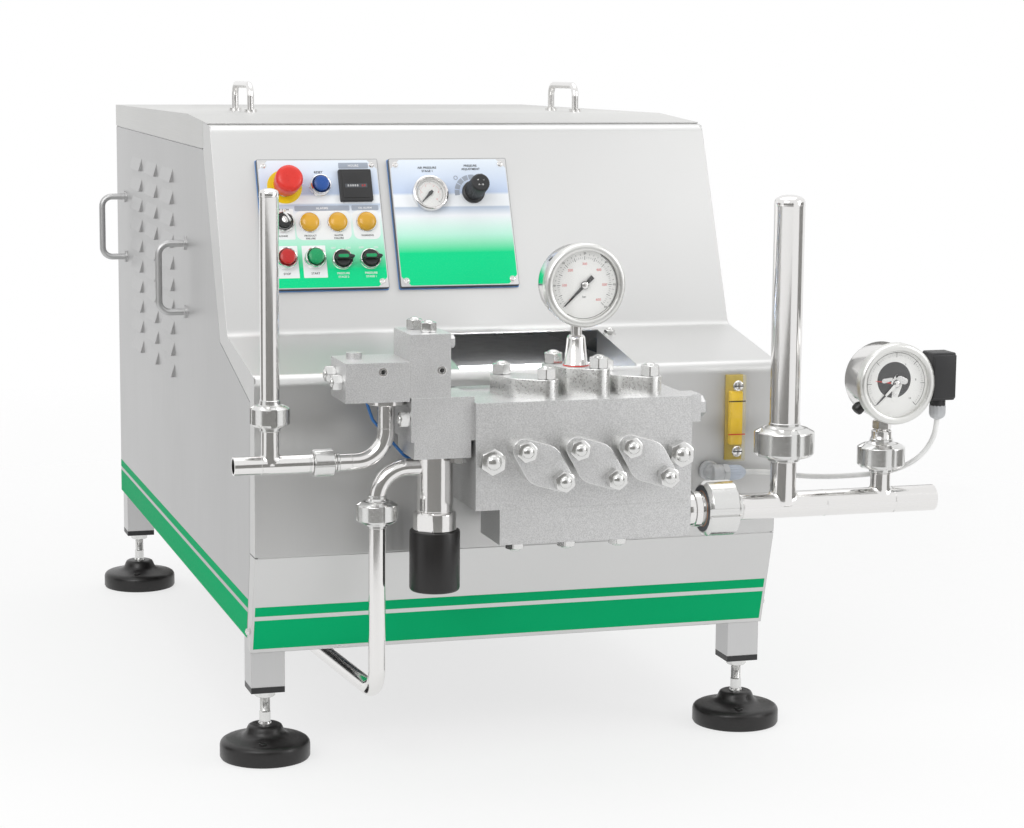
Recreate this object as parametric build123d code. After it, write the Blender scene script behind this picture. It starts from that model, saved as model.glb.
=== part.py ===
from build123d import *
import math
import os

# A three-plunger homogenizer: a floor-standing stainless cabinet with the pump
# block, the two-stage homogenizing valve and its pipework on the front.
# Millimetres, +Z up, the front of the machine looks towards -Y, and the working
# frame has x = 0 at the cabinet's middle, y = 0 at the upright front sheet and
# z = 0 on the floor. At the end all pieces move so that the origin lies at the
# middle of the machine's footprint.

# Cabinet
cabinet_width = 720.0
cabinet_rear_y = 1190.0
cabinet_bottom_z = 165.0
sheet = 2.0
panel_gap = 1.5
roof_rear_z = 828.0
roof_ridge_z = 837.0
roof_ridge_y = 477.0
slope_top = (302.0, 826.0)
slope_bottom = (184.0, 550.0)
shelf_front_z = 518.0
skirt_top_z = 284.0
skirt_bottom = (38.0, 149.0)
side_flange = 34.0
upper_flange = 50.0
cover_lip = 35.0
fold_radius = 16.0

# Window in the shelf over the plungers, and the cut-out round the pump block
window_x = (-84.0, 160.0)
window_front_y = 7.0
window_rear_y = 172.0
window_cut_above = 20.0
window_cut_below = 60.0
block_clearance = 3.0

# Splash tray under the plungers, between pump block and crankcase
tray_floor_z = 372.0
tray_margin = 6.0
tray_drop = 3.5

# Louvres of the side and rear panels
louvre_length = 96.0
louvre_height = 20.0
louvre_depth = 6.0
louvre_rows = 10
louvre_columns = 3
louvre_row_pitch = 32.5
louvre_column_pitch = 150.0
louvre_first = (660.0, 448.0)

# D-shaped handles
handle_rod = 10.0
handle_reach = 40.0
side_handle_length = 100.0
side_handles_at = ((503.0, 599.0), (1086.0, 629.0))
top_handle_length = 120.0
top_handle_x = 252.0
top_handle_y = 620.0
handle_foot_radius = 9.5
handle_foot_height = 4.0

# Frame, legs and levelling feet
tube = 45.0
tube_wall = 2.0
leg_bottom_z = 101.0
front_leg_y = 64.5
rear_leg_y = 1155.0
middle_post_y = 395.0
insert_flange = 8.0
insert_depth = 26.0
insert_clearance = 0.1
leg_pocket_spare = 10.0
base_plate_thickness = 12.0
crank_base_half = 60.0
motor_base_half = 70.0
spindle_radius = 7.0
spindle_top_in_insert = 20.0
lock_nut_flats = 24.0
lock_nut_height = 9.0
pad_radius = 60.0
pad_rim_height = 22.0
pad_hub_radius = 19.0
pad_hub_z = 61.0
thread_clearance = 0.05

# Pump block, manifold and plungers
block_front_y = -135.0
block_rear_y = 25.0
block_x = (-104.0, 186.0)
block_z = (358.5, 496.0)
manifold_x_left = -72.0
manifold_height = 45.5
manifold_depth = 86.0
cylinder_pitch = 70.0
cylinder_z = 418.0
plunger_radius = 13.0
plunger_clearance = 0.05
plunger_bore_depth = 95.0
plunger_stroke = 32.0
plunger_end_gap = 8.0
crosshead_radius = 27.0
crosshead_length = 74.0
crosshead_clearance = 0.08
crosshead_setback = 26.0

# Leaf-shaped valve covers and their nuts
leaf_end_radius = 15.0
leaf_middle_radius = 27.0
leaf_half_x = 25.0
leaf_half_z = 20.0
top_leaf_half_x = 21.0
top_leaf_half_y = 30.0
front_leaf_thickness = 26.0
top_leaf_thickness = 24.0
gauge_leaf_thickness = 36.0
leaf_centre_y = -74.0
nut_flats = 24.0
nut_height = 15.0
stud_radius = 7.5
stud_height = 6.0
big_nut_flats = 30.0
big_nut_height = 18.0
big_stud_radius = 10.0

# Valve blocks on the left of the pump block, and the pneumatic actuator
valve_recess = 8.0
valve_depth = 82.0
base_x = (-186.0, -104.0)
base_z = (448.0, 504.0)
base_plate_inset = 4.0
base_plate_height = 22.0
upright_x = (-188.0, -135.0)
upright_top_z = 584.0
side_block_x = (-270.0, -188.0)
side_block_z = (500.0, 550.0)
actuator_x = -144.0
actuator_radius = 23.3
collar_radius = 27.7
collar_z = (328.0, 352.0)
actuator_cap_radius = 32.5
actuator_cap_bottom_z = 247.0

# Pipework
small_pipe_radius = 11.0
large_pipe_radius = 17.5
pipe_wall = 1.5
elbow_radius = 40.0
outlet_drop_x = -208.0
outlet_z = 420.0
outlet_end_x = -404.0
outlet_flange = (38.0, 6.0)
tee_length = 100.0
tee_radius = 11.9
outlet_end_length = 34.0
inlet_end_length = 60.0
weld_width = 2.0
weld_rise = 0.6
outlet_damper_x = -357.0
outlet_damper_radius = 12.0
outlet_damper_top_z = 765.0
outlet_branch_top_z = 471.0
inlet_z = 339.0
inlet_end_x = 552.0
inlet_damper_x = 333.0
inlet_damper_radius = 20.0
inlet_damper_top_z = 750.0
inlet_branch_top_z = 407.0
gauge_branch_x = 474.0
gauge_branch_radius = 14.5
gauge_branch_top_z = 386.0
drain_x = -220.0
drain_z = 410.0
drain_low_z = 125.0
drain_end_y = 150.0
drain_union_z = 341.0
seat = 0.3

# Union nuts: inner radius follows the pipe, then outer radius and length
outlet_union = (17.5, 27.0)
outlet_damper_union = (25.0, 26.0)
drain_union = (26.5, 27.0)
inlet_union = (36.5, 46.0)
inlet_damper_union = (40.0, 38.0)
gauge_union = (32.0, 32.0)

# Gauges
gauge_bezel_radius = 54.0
gauge_case_radius = 50.0
bezel_depth = 14.0
main_gauge_z = 639.0
main_gauge_front = 40.0
main_gauge_depth = 50.0
contact_gauge_z = 503.0
contact_gauge_front = 54.0
contact_gauge_depth = 64.0
contact_gauge_drift = -3.0
dial_depth = 9.0
lens_thickness = 3.0
pointer_length = 38.0
pointer_thickness = 1.2
pointer_hub_radius = 5.0
pointer_rest_turn = 225.0
plug_size = (34.0, 34.0, 64.0)
plug_neck = 6.0

# Control plates on the sloped face: size, distances from the cabinet's left side
# and distance down the slope
plate_size = (170.0, 187.0)
plate_margins = (59.0, 245.0)
plate_down = 52.0
plate_thickness = 8.0
plate_edge_radius = 2.0
plate_screw_inset = 9.0
plate_screw_radius = 3.6
plate_screw_height = 2.2

# Controls: distance from the left plate's left edge and distance down the slope
estop_at = (36.0, 92.0)
reset_at = (85.0, 92.0)
counter_at = (135.0, 92.0)
key_at = (30.0, 143.5)
lamps_at = ((66.0, 144.0), (105.5, 144.0), (146.0, 144.0))
stop_at = (29.0, 196.5)
start_at = (68.5, 196.5)
selectors_at = ((107.0, 198.0), (146.0, 198.0))
bezel_radius = 14.6
bezel_height = 5.0
stem_radius = 7.0
stem_clearance = 0.05
hole_clearance = 0.5
stem_depth = 14.0
button_radius = 10.5
button_height = 9.0
button_travel = 4.0
lamp_radius = 12.5
lamp_height = 9.0
knob_radius = 11.5
knob_height = 12.0
estop_radius = 19.0
estop_height = 32.0
estop_collar = 3.0
estop_travel = 6.0
counter_width = 46.0
counter_frame = 6.0
air_gauge_down = 105.0
air_gauge_from_left = 54.0
air_gauge_radius = 25.5
air_gauge_height = 10.0
regulator_down = 103.0
regulator_from_left = 117.0
regulator_radius = 16.0
regulator_knob_radius = 13.5
regulator_knob_length = 26.0
regulator_body_length = 17.0

# Crank drive
crank_y = 430.0
crankcase_front_y = 186.0
crankcase_rear_y = 514.0
crankcase_wall = 14.0
crankcase_side = 150.0
crankcase_z = (330.0, 500.0)
journal_radius = 18.0
eccentric_margin = 2.0
rod_width = 26.0
rod_bore_clearance = 0.08
rod_ring = 10.0
gudgeon_radius = 8.0
pulley_gap = 3.0
pulley_width = 56.0
driven_pulley_radius = 84.0
motor_pulley_radius = 50.0
shaft_radius = 16.0
belt_count = 3
belt_width = 10.0
belt_height = 8.0
belt_clearance = 0.1
motor_y = 770.0
motor_z = 360.0
motor_radius = 92.0
motor_length = 260.0
motor_left_x = -90.0
terminal_length = 100.0
cowl_length = 60.0

# Small fittings
sight_x = 297.0
sight_z = (386.0, 503.0)
sight_size = (26.0, 14.0)
plug_flange = (18.7, 36.0)
gland_x = 250.0
gland_y = -25.0
gland_z = 373.0
gland_length = 58.0
cable_radius = 3.5
hose_radius = 3.0
hose_z = 484.0
hose_reach = 34.0
hose_bend = 14.0
hose_offset = 6.0
hose_drip_gap = 10.0

half_width = cabinet_width / 2
plate_left_edges = [margin - half_width for margin in plate_margins]
pulley_x = half_width - sheet - tube - base_plate_thickness / 2 - pulley_gap - pulley_width
crankpin_throw = plunger_stroke / 2
eccentric_radius = journal_radius + crankpin_throw + eccentric_margin
block_mid_x = (block_x[0] + block_x[1]) / 2 + 6.0
cylinder_x = [block_mid_x + k * cylinder_pitch for k in (-1, 0, 1)]
manifold_bottom_z = block_z[0] - manifold_height
manifold_axis_y = block_front_y + manifold_depth / 2
valve_front_y = block_front_y + valve_recess
valve_axis_y = valve_front_y + valve_depth / 2
inlet_y = manifold_axis_y
slope_angle = math.atan2(slope_top[1] - slope_bottom[1], slope_top[0] - slope_bottom[0])
slope_normal = Vector(0, -math.sin(slope_angle), math.cos(slope_angle))
slope_along = Vector(0, -math.cos(slope_angle), -math.sin(slope_angle))


def box(x, y, z):
    """A box between two corners, each given as (low, high) along its axis."""
    size = (x[1] - x[0], y[1] - y[0], z[1] - z[0])
    centre = ((x[0] + x[1]) / 2, (y[0] + y[1]) / 2, (z[0] + z[1]) / 2)
    return Pos(*centre) * Box(*size)


def rod(start, direction, radius, length):
    """A cylinder that starts at a point and runs along a direction."""
    place = Plane(origin=start, z_dir=direction)
    return place * Cylinder(radius, length, align=(Align.CENTER, Align.CENTER, Align.MIN))


def taper(start, direction, radius_1, radius_2, length):
    """A truncated cone that starts at a point and runs along a direction."""
    place = Plane(origin=start, z_dir=direction)
    return place * Cone(radius_1, radius_2, length, align=(Align.CENTER, Align.CENTER, Align.MIN))


def hexagon(start, direction, flats, height, turn=0.0):
    """A six-sided prism that starts at a point and runs along a direction."""
    place = Plane(origin=start, z_dir=direction)
    outline = Rot(0, 0, turn) * RegularPolygon(flats / 2, 6, major_radius=False)
    return extrude(place * outline, height)


def cap_nut(start, direction, flats, height, stud, rise):
    """A hexagon nut with the end of its stud standing out."""
    nut = hexagon(start, direction, flats, height)
    top = Vector(*start) + Vector(*direction).normalized() * height
    return nut + taper(top, direction, stud, stud * 0.6, rise)


def turned(profile, origin, direction):
    """A solid turned about an axis, from points given as (radius, height)."""
    face = make_face(Plane.XZ * Polyline(*profile, close=True))
    body = revolve(face, Axis.Z)
    return Plane(origin=origin, z_dir=direction) * body


def bent_rod(points, bend, radius):
    """A round bar or tube along straight runs joined by equal bends."""
    path = FilletPolyline(*points, radius=bend)
    first = Vector(*points[1]) - Vector(*points[0])
    end = Plane(origin=points[0], z_dir=first)
    return sweep(end * Circle(radius), path=path)


def union_nut(middle, direction, pipe, size):
    """A slotted round nut: a ring with bevelled ends and spanner slots."""
    outer, length = size
    bevel = length * 0.22
    inner = pipe + seat
    low = -length / 2
    high = length / 2
    ring = turned(
        (
            (inner, low),
            (outer - bevel, low),
            (outer, low + bevel),
            (outer, high - bevel),
            (outer - bevel, high),
            (inner, high),
        ),
        middle,
        direction,
    )
    place = Plane(origin=middle, z_dir=direction)
    slot = Box(outer * 0.3, outer * 0.22, length * 1.2)
    for step in range(4):
        ring -= place * Rot(0, 0, 90 * step + 45) * Pos(outer, 0, 0) * slot
    return ring


def on_slope(x, down, out=0.0):
    """The point of the sloped face at x, a distance down from its top edge."""
    top = Vector(x, slope_top[0], slope_top[1])
    return top + slope_along * down + slope_normal * out


def slope_plane(x, down, out=0.0):
    """A plane on the sloped face: its X is the machine's X, its Z points out."""
    return Plane(origin=on_slope(x, down, out), x_dir=(1, 0, 0), z_dir=slope_normal)


# Frame and feet


def leg_centres():
    x = half_width - sheet - tube / 2
    return {
        "front_left": (-x, front_leg_y),
        "front_right": (x, front_leg_y),
        "rear_left": (-x, rear_leg_y),
        "rear_right": (x, rear_leg_y),
    }


def base_frame():
    """Welded square-tube frame: legs, lower and upper rings, drive cross-members."""
    half = tube / 2
    post_x = half_width - sheet - half
    rail_z = (cabinet_bottom_z, cabinet_bottom_z + tube)
    front_top = shelf_front_z - tube
    frame = None
    for side in (-1, 1):
        x = (side * post_x - half, side * post_x + half)
        front = box(x, (front_leg_y - half, front_leg_y + half), (leg_bottom_z, front_top))
        rear = box(x, (rear_leg_y - half, rear_leg_y + half), (leg_bottom_z, roof_rear_z - cover_lip))
        middle_y = (middle_post_y - half, middle_post_y + half)
        middle = box(x, middle_y, (rail_z[0], roof_rear_z - cover_lip))
        low = box(x, (front_leg_y - half, rear_leg_y + half), rail_z)
        high_z = (roof_rear_z - cover_lip - tube, roof_rear_z - cover_lip)
        high = box(x, (middle_y[0], rear_leg_y + half), high_z)
        side_frame = front + rear + middle + low + high
        frame = side_frame if frame is None else frame + side_frame
    across = (-post_x, post_x)
    for y in (front_leg_y, middle_post_y, rear_leg_y):
        frame += box(across, (y - half, y + half), rail_z)
    for y in (middle_post_y, rear_leg_y):
        frame += box(across, (y - half, y + half), (roof_rear_z - cover_lip - tube, roof_rear_z - cover_lip))
    drive_bases = (
        (crank_y, crank_base_half, crankcase_z[0]),
        (motor_y, motor_base_half, motor_z - motor_radius),
    )
    for y, reach, top in drive_bases:
        frame += box(across, (y - reach, y + reach), (top - base_plate_thickness, top))
        for side in (-1, 1):
            inner_face = side * (post_x - half)
            cheek = (inner_face - base_plate_thickness / 2, inner_face + base_plate_thickness / 2)
            frame += box(cheek, (y - reach, y + reach), (rail_z[0], top))
    pocket = tube - 2 * tube_wall
    for x, y in leg_centres().values():
        hollow = (leg_bottom_z, leg_bottom_z + insert_depth + leg_pocket_spare)
        frame -= box((x - pocket / 2, x + pocket / 2), (y - pocket / 2, y + pocket / 2), hollow)
    return frame


def leg_inserts():
    """Plastic end plugs in the legs, each threaded for a foot's spindle."""
    plugs = []
    for x, y in leg_centres().values():
        half = tube / 2
        flange = box((x - half, x + half), (y - half, y + half), (leg_bottom_z - insert_flange, leg_bottom_z))
        half = tube / 2 - tube_wall - insert_clearance
        stem = box((x - half, x + half), (y - half, y + half), (leg_bottom_z, leg_bottom_z + insert_depth))
        bore = rod((x, y, leg_bottom_z - insert_flange - 1), (0, 0, 1), spindle_radius + thread_clearance,
                   insert_flange + insert_depth)
        plugs.append(flange + stem - bore)
    return plugs


def levelling_foot(x, y):
    """A domed pad with its threaded spindle and lock nut."""
    under_insert = leg_bottom_z - insert_flange
    pad = turned(
        (
            (0, 0),
            (pad_radius - 4, 0),
            (pad_radius, 5),
            (pad_radius, pad_rim_height - 5),
            (pad_radius - 6, pad_rim_height),
            (pad_radius * 0.62, pad_rim_height + 9),
            (pad_hub_radius + 7, pad_rim_height + 17),
            (pad_hub_radius, pad_rim_height + 26),
            (pad_hub_radius, pad_hub_z - 3),
            (pad_hub_radius - 4, pad_hub_z),
            (0, pad_hub_z),
        ),
        (x, y, 0),
        (0, 0, 1),
    )
    spindle = rod((x, y, pad_hub_z), (0, 0, 1), spindle_radius,
                  leg_bottom_z + spindle_top_in_insert - pad_hub_z)
    nut_bottom = under_insert - seat - lock_nut_height
    spindle += hexagon((x, y, nut_bottom), (0, 0, 1), lock_nut_flats, lock_nut_height)
    return [pad, spindle]


# Cabinet sheets


def folded_sheet(points, width, thickness, radius):
    """A sheet of a width, folded along a (y, z) outline, with its outer face there."""
    line = FilletPolyline(*[(0, y, z) for y, z in points], radius=radius)
    inner = [offset_point(points, index, thickness) for index in range(len(points))]
    back = FilletPolyline(*[(0, y, z) for y, z in inner], radius=max(radius - thickness, 1.0))
    ends = [
        Line((0, *points[0]), (0, *inner[0])),
        Line((0, *points[-1]), (0, *inner[-1])),
    ]
    face = make_face(Wire(line.edges() + back.edges() + ends))
    return Pos(-width / 2, 0, 0) * extrude(face, width, dir=(1, 0, 0))


def offset_point(points, index, distance):
    """The (y, z) corner moved inwards, so that both its edges move by a distance."""
    normals = []
    for first, second in ((index - 1, index), (index, index + 1)):
        if first < 0 or second >= len(points):
            continue
        dy = points[second][0] - points[first][0]
        dz = points[second][1] - points[first][1]
        length = math.hypot(dy, dz)
        normals.append((-dz / length, dy / length))
    if len(normals) == 1:
        shift = normals[0]
    else:
        dot = normals[0][0] * normals[1][0] + normals[0][1] * normals[1][1]
        shift = [(normals[0][k] + normals[1][k]) / (1 + dot) for k in (0, 1)]
    return points[index][0] + shift[0] * distance, points[index][1] + shift[1] * distance


def shifted(points, distance):
    """A (y, z) outline moved sideways as a whole."""
    return [offset_point(points, index, distance) for index in range(len(points))]


def side_plate(outline, side):
    """A flat plate in the side plane, from a closed (y, z) outline."""
    face = make_face(Polyline(*[(0, y, z) for y, z in outline], close=True))
    start = -half_width if side < 0 else half_width - sheet
    return Pos(start, 0, 0) * extrude(face, sheet, dir=(1, 0, 0))


def front_profile():
    """Outer (y, z) line of the front cover, from under the roof to the skirt."""
    top_rear = (roof_front_end_y(), slope_top[1] + (roof_front_end_y() - slope_top[0]) * roof_fall())
    return [top_rear, slope_top, slope_bottom, (0.0, shelf_front_z), (0.0, skirt_top_z)]


def roof_fall():
    """Rise of the roof per millimetre from its front edge back to the ridge."""
    return (roof_ridge_z - sheet - slope_top[1]) / (roof_ridge_y - slope_top[0])


def roof_front_end_y():
    return slope_top[0] + upper_flange


def front_cover():
    """Sloped panel, shelf and upright sheet folded from one sheet, with flanges."""
    points = front_profile()
    skin = folded_sheet(points, cabinet_width, sheet, fold_radius)
    inner = shifted(points, sheet * 0.5)
    flange = shifted(points, side_flange)
    flange[0] = (points[0][0], slope_top[1] - cover_lip)
    flange[1] = (slope_top[0] + upper_flange, slope_top[1] - cover_lip - 4)
    flange[2] = (slope_bottom[0] + upper_flange, slope_bottom[1] - side_flange * 0.4)
    flange[3] = (side_flange * 0.8, shelf_front_z - side_flange)
    outline = inner + flange[::-1]
    for side in (-1, 1):
        skin += side_plate(outline, side)
    window_z = (shelf_front_z - window_cut_below, slope_bottom[1] + window_cut_above)
    window = box(window_x, (window_front_y, window_rear_y), window_z)
    skin -= window
    hole_x = (block_x[0] - block_clearance, block_x[1] + block_clearance)
    hole_z = (block_z[0] - block_clearance, block_z[1] + block_clearance)
    skin -= box(hole_x, (-5 * sheet, side_flange), hole_z)
    for place in stem_places():
        skin -= control_place(place, -plate_thickness) * Cylinder(stem_radius + hole_clearance, 8 * sheet)
    return [skin, splash_tray()]


def splash_tray():
    """Folded tray under the window: a floor and two sides up to the shelf."""
    x = (window_x[0] - tray_margin, window_x[1] + tray_margin)
    y = (block_rear_y + 1, crankcase_front_y - 1)
    rise = (slope_bottom[1] - shelf_front_z) / slope_bottom[0]
    tops = [shelf_front_z + rise * at - tray_drop for at in y]
    side = make_face(Polyline((0, y[0], tray_floor_z), (0, y[1], tray_floor_z), (0, y[1], tops[1]),
                              (0, y[0], tops[0]), close=True))
    solid = Pos(x[0], 0, 0) * extrude(side, x[1] - x[0], dir=(1, 0, 0))
    inside = box((x[0] + sheet, x[1] - sheet), (y[0] - 1, y[1] + 1), (tray_floor_z + sheet, tops[1] + 10))
    return solid - inside


def front_skirt():
    """Lower front sheet, leaning in towards the floor, with side flanges."""
    points = [(0.0, skirt_top_z - panel_gap), skirt_bottom]
    skin = folded_plate(points)
    back = (skirt_bottom[0] + side_flange * 0.6, skirt_bottom[1] + 8)
    top = (side_flange, skirt_top_z - panel_gap)
    outline = [points[0], skirt_bottom, back, top]
    for side in (-1, 1):
        skin += side_plate(outline, side)
    return skin


def folded_plate(points):
    """A flat sheet across the machine between two (y, z) points."""
    inner = shifted(points, sheet)
    face = make_face(Polyline(*[(0, y, z) for y, z in points + inner[::-1]], close=True))
    return Pos(-half_width, 0, 0) * extrude(face, cabinet_width, dir=(1, 0, 0))


def side_outline():
    """Closed (y, z) outline of a side panel, a gap away from the front flanges."""
    gap = panel_gap
    top = roof_rear_z - cover_lip - gap
    flange_rear = roof_front_end_y() + gap
    return [
        (cabinet_rear_y - sheet - gap, top),
        (flange_rear, top),
        (flange_rear, slope_top[1] - cover_lip - 4),
        (slope_bottom[0] + upper_flange + gap, slope_bottom[1] - side_flange * 0.4 - gap),
        (side_flange * 0.8 + gap, shelf_front_z - side_flange - gap),
        (side_flange + gap, skirt_top_z),
        (skirt_bottom[0] + side_flange * 0.6 + gap, cabinet_bottom_z),
        (cabinet_rear_y - sheet - gap, cabinet_bottom_z),
    ]


def louvre(length, height, depth):
    """One pressed louvre on the XY plane: a low hood with its mouth downwards."""
    section = make_face(Polyline((0, height / 2, 0), (0, -height / 2, depth), (0, -height / 2, 0), close=True))
    return Pos(-length / 2, 0, 0) * extrude(section, length, dir=(1, 0, 0))


def side_panel(side):
    """Flat side panel with its louvres and two D-shaped handles."""
    plate = side_plate(side_outline(), side)
    x = side * half_width
    x_dir = (0, -side, 0)
    for column in range(louvre_columns):
        for row in range(louvre_rows):
            y = louvre_first[0] + column * louvre_column_pitch
            z = louvre_first[1] + row * louvre_row_pitch
            place = Plane(origin=(x, y, z), x_dir=x_dir, z_dir=(side, 0, 0))
            plate += place * Rot(0, 0, 180) * louvre(louvre_length, louvre_height, louvre_depth)
    handles = [d_handle((x, y, z), (side, 0, 0), (0, 0, 1), side_handle_length) for y, z in side_handles_at]
    return [plate] + handles


def d_handle(middle, out, along, length):
    """A D-shaped bar handle on round feet, centred on the face it stands on."""
    out = Vector(*out)
    along = Vector(*along)
    middle = Vector(*middle)
    first = middle - along * (length / 2)
    last = middle + along * (length / 2)
    points = [first, first + out * handle_reach, last + out * handle_reach, last]
    bar = bent_rod([tuple(p) for p in points], handle_rod * 1.6, handle_rod / 2)
    for end in (first, last):
        bar += rod(tuple(end), tuple(out), handle_foot_radius, handle_foot_height)
    return bar


def rear_panel():
    """Flat rear sheet with rows of louvres over the motor."""
    top = roof_rear_z - sheet - 0.5
    half = half_width - sheet
    plate = box((-half, half), (cabinet_rear_y - sheet, cabinet_rear_y), (cabinet_bottom_z, top))
    for column in (-1, 0, 1):
        for row in range(6):
            z = louvre_first[1] - 160 + row * louvre_row_pitch
            origin = (column * louvre_column_pitch, cabinet_rear_y, z)
            place = Plane(origin=origin, x_dir=(-1, 0, 0), z_dir=(0, 1, 0))
            plate += place * louvre(louvre_length, louvre_height, louvre_depth)
    return plate


def roof_profile():
    """Outer (y, z) line of the top cover, from its rear edge to its front edge."""
    front_y = slope_top[0] + fold_radius
    front_z = slope_top[1] + sheet + seat + fold_radius * roof_fall()
    return [(cabinet_rear_y, roof_rear_z), (roof_ridge_y, roof_ridge_z), (front_y, front_z)]


def top_cover():
    """Lift-off cover: a roof with a low ridge, side lips and a rear lip."""
    points = roof_profile()
    inner = shifted(points, sheet)
    face = make_face(Polyline(*[(0, y, z) for y, z in points + inner[::-1]], close=True))
    cover = Pos(-half_width, 0, 0) * extrude(face, cabinet_width, dir=(1, 0, 0))
    lip_front = roof_front_end_y() + panel_gap
    mid = shifted(points, sheet * 0.5)
    front_z = mid[2][1] + (lip_front - mid[2][0]) * roof_fall()
    outline = [
        mid[0],
        mid[1],
        (lip_front, front_z),
        (lip_front, roof_rear_z - cover_lip),
        (cabinet_rear_y, roof_rear_z - cover_lip),
    ]
    for side in (-1, 1):
        cover += side_plate(outline, side)
    return cover


def lifting_handles():
    """Two D-shaped handles that stand on the top cover."""
    span = cabinet_rear_y - roof_ridge_y
    share = (top_handle_y - roof_ridge_y) / span
    z = roof_ridge_z + (roof_rear_z - roof_ridge_z) * share
    lean = Vector(0, -span, roof_ridge_z - roof_rear_z).normalized()
    out = Vector(0, lean.Z, -lean.Y)
    return [
        d_handle((side * top_handle_x, top_handle_y, z), tuple(out), tuple(lean), top_handle_length)
        for side in (-1, 1)
    ]


# Pump end


def pump_block():
    """Forged block with plunger bores open at the rear and a plug at its right end."""
    block = box(block_x, (block_front_y, block_rear_y), block_z)
    for x in cylinder_x:
        bore_start = (x, block_rear_y + 1, cylinder_z)
        block -= rod(bore_start, (0, -1, 0), plunger_radius + plunger_clearance, plunger_bore_depth + 1)
    length, size = plug_flange
    z = block_z[1] - size / 2 - 1
    y = block_front_y + size
    flange = box((block_x[1], block_x[1] + length), (y - size / 2, y + size / 2), (z - size / 2, z + size / 2))
    return block + flange + hexagon((block_x[1] + length, y, z), (1, 0, 0), nut_flats, 9)


def suction_manifold():
    """Rectangular inlet manifold under the block, with a spigot at its right end."""
    z = (manifold_bottom_z, block_z[0])
    body = box((manifold_x_left, block_x[1]), (block_front_y, block_front_y + manifold_depth), z)
    liner = large_pipe_radius + 4
    spigot = rod((block_x[1], inlet_y, inlet_z), (1, 0, 0), liner - 2, 9)
    return body + spigot


def leaf(half_x, half_y, thickness):
    """A leaf-shaped cover plate on the XY plane, long between its two bolts."""
    middle = Circle(leaf_middle_radius).edges()
    first = (Pos(-half_x, half_y) * Circle(leaf_end_radius)).edges()
    last = (Pos(half_x, -half_y) * Circle(leaf_end_radius)).edges()
    return extrude(make_hull(middle + first + last), thickness)


def valve_covers():
    """Leaf-shaped covers of the delivery valves in front and on top."""
    covers = []
    for index, x in enumerate(cylinder_x):
        front = Plane(origin=(x, block_front_y, cylinder_z), x_dir=(1, 0, 0), z_dir=(0, -1, 0))
        covers.append(front * leaf(leaf_half_x, leaf_half_z, front_leaf_thickness))
        height = gauge_leaf_thickness if index == 1 else top_leaf_thickness
        covers.append(Pos(x, leaf_centre_y, block_z[1]) * leaf(top_leaf_half_x, top_leaf_half_y, height))
    return covers


def cap_nuts():
    """The nuts of the covers, block, manifold and valve blocks, with stud ends."""
    nuts = []
    size = (nut_flats, nut_height, stud_radius, stud_height)
    for index, x in enumerate(cylinder_x):
        height = gauge_leaf_thickness if index == 1 else top_leaf_thickness
        for sign in (-1, 1):
            front = (x - sign * leaf_half_x, block_front_y - front_leaf_thickness, cylinder_z + sign * leaf_half_z)
            nuts.append(cap_nut(front, (0, -1, 0), *size))
            top = (x - sign * top_leaf_half_x, leaf_centre_y + sign * top_leaf_half_y, block_z[1] + height)
            nuts.append(cap_nut(top, (0, 0, 1), *size))
        under = (x - 16, manifold_axis_y, manifold_bottom_z)
        nuts.append(cap_nut(under, (0, 0, -1), *size))
    big = (big_nut_flats, big_nut_height, big_stud_radius, stud_height)
    edge = big_nut_flats * 0.62
    for x in (block_x[0] + edge, block_x[1] - edge):
        nuts.append(cap_nut((x, block_front_y, cylinder_z + 5), (0, -1, 0), *big))
    for share in (0.3, 0.75):
        y = valve_front_y + valve_depth * share
        middle_x = (upright_x[0] + upright_x[1]) / 2
        shift = (share - 0.5) * 50
        nuts.append(cap_nut((middle_x - shift, y, upright_top_z), (0, 0, 1), *size))
        middle_z = sum(side_block_z) / 2
        nuts.append(cap_nut((side_block_x[0], y, middle_z + 6), (-1, 0, 0), *size))
    nuts.append(cap_nut((base_x[0], valve_front_y + 14, base_z[1] - 28), (-1, 0, 0), *size))
    low = base_z[0] - base_plate_height
    nuts.append(hexagon((base_x[1] - 17, valve_front_y + 13, low), (0, 0, -1), nut_flats * 0.75, 8))
    return nuts


def valve_base_block():
    """Base block on the pump block's left face with the plate under it."""
    y = (valve_front_y, valve_front_y + valve_depth)
    block = box(base_x, y, base_z)
    inset = base_plate_inset
    plate_x = (base_x[0] + inset, base_x[1] - inset)
    plate = box(plate_x, y, (base_z[0] - base_plate_height, base_z[0]))
    return block + plate


def ported_block(x, z, port_x, port_z):
    """A valve block with a small tapped port in its front face."""
    y = (valve_front_y, valve_front_y + valve_depth)
    block = box(x, y, z)
    return block - rod((port_x, valve_front_y - 1, port_z), (0, 1, 0), 3.0, 16)


def first_stage_block():
    """Upright block of the first homogenizing stage."""
    middle = (upright_x[0] + upright_x[1]) / 2
    block = ported_block(upright_x, (base_z[1], upright_top_z), middle + 15, side_block_z[1] - 12)
    fitting = (upright_x[1], valve_front_y + 20, upright_top_z - 12)
    return block + hexagon(fitting, (1, 0, 0), 14, 9)


def second_stage_block():
    """Side block of the second homogenizing stage, with a plug on top."""
    middle = (side_block_x[0] + side_block_x[1]) / 2
    block = ported_block(side_block_x, side_block_z, middle + 7, side_block_z[1] - 12)
    plug = (side_block_x[0] + 22, valve_axis_y + 8, side_block_z[1])
    return block + rod(plug, (0, 0, 1), 10, 8)


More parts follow.
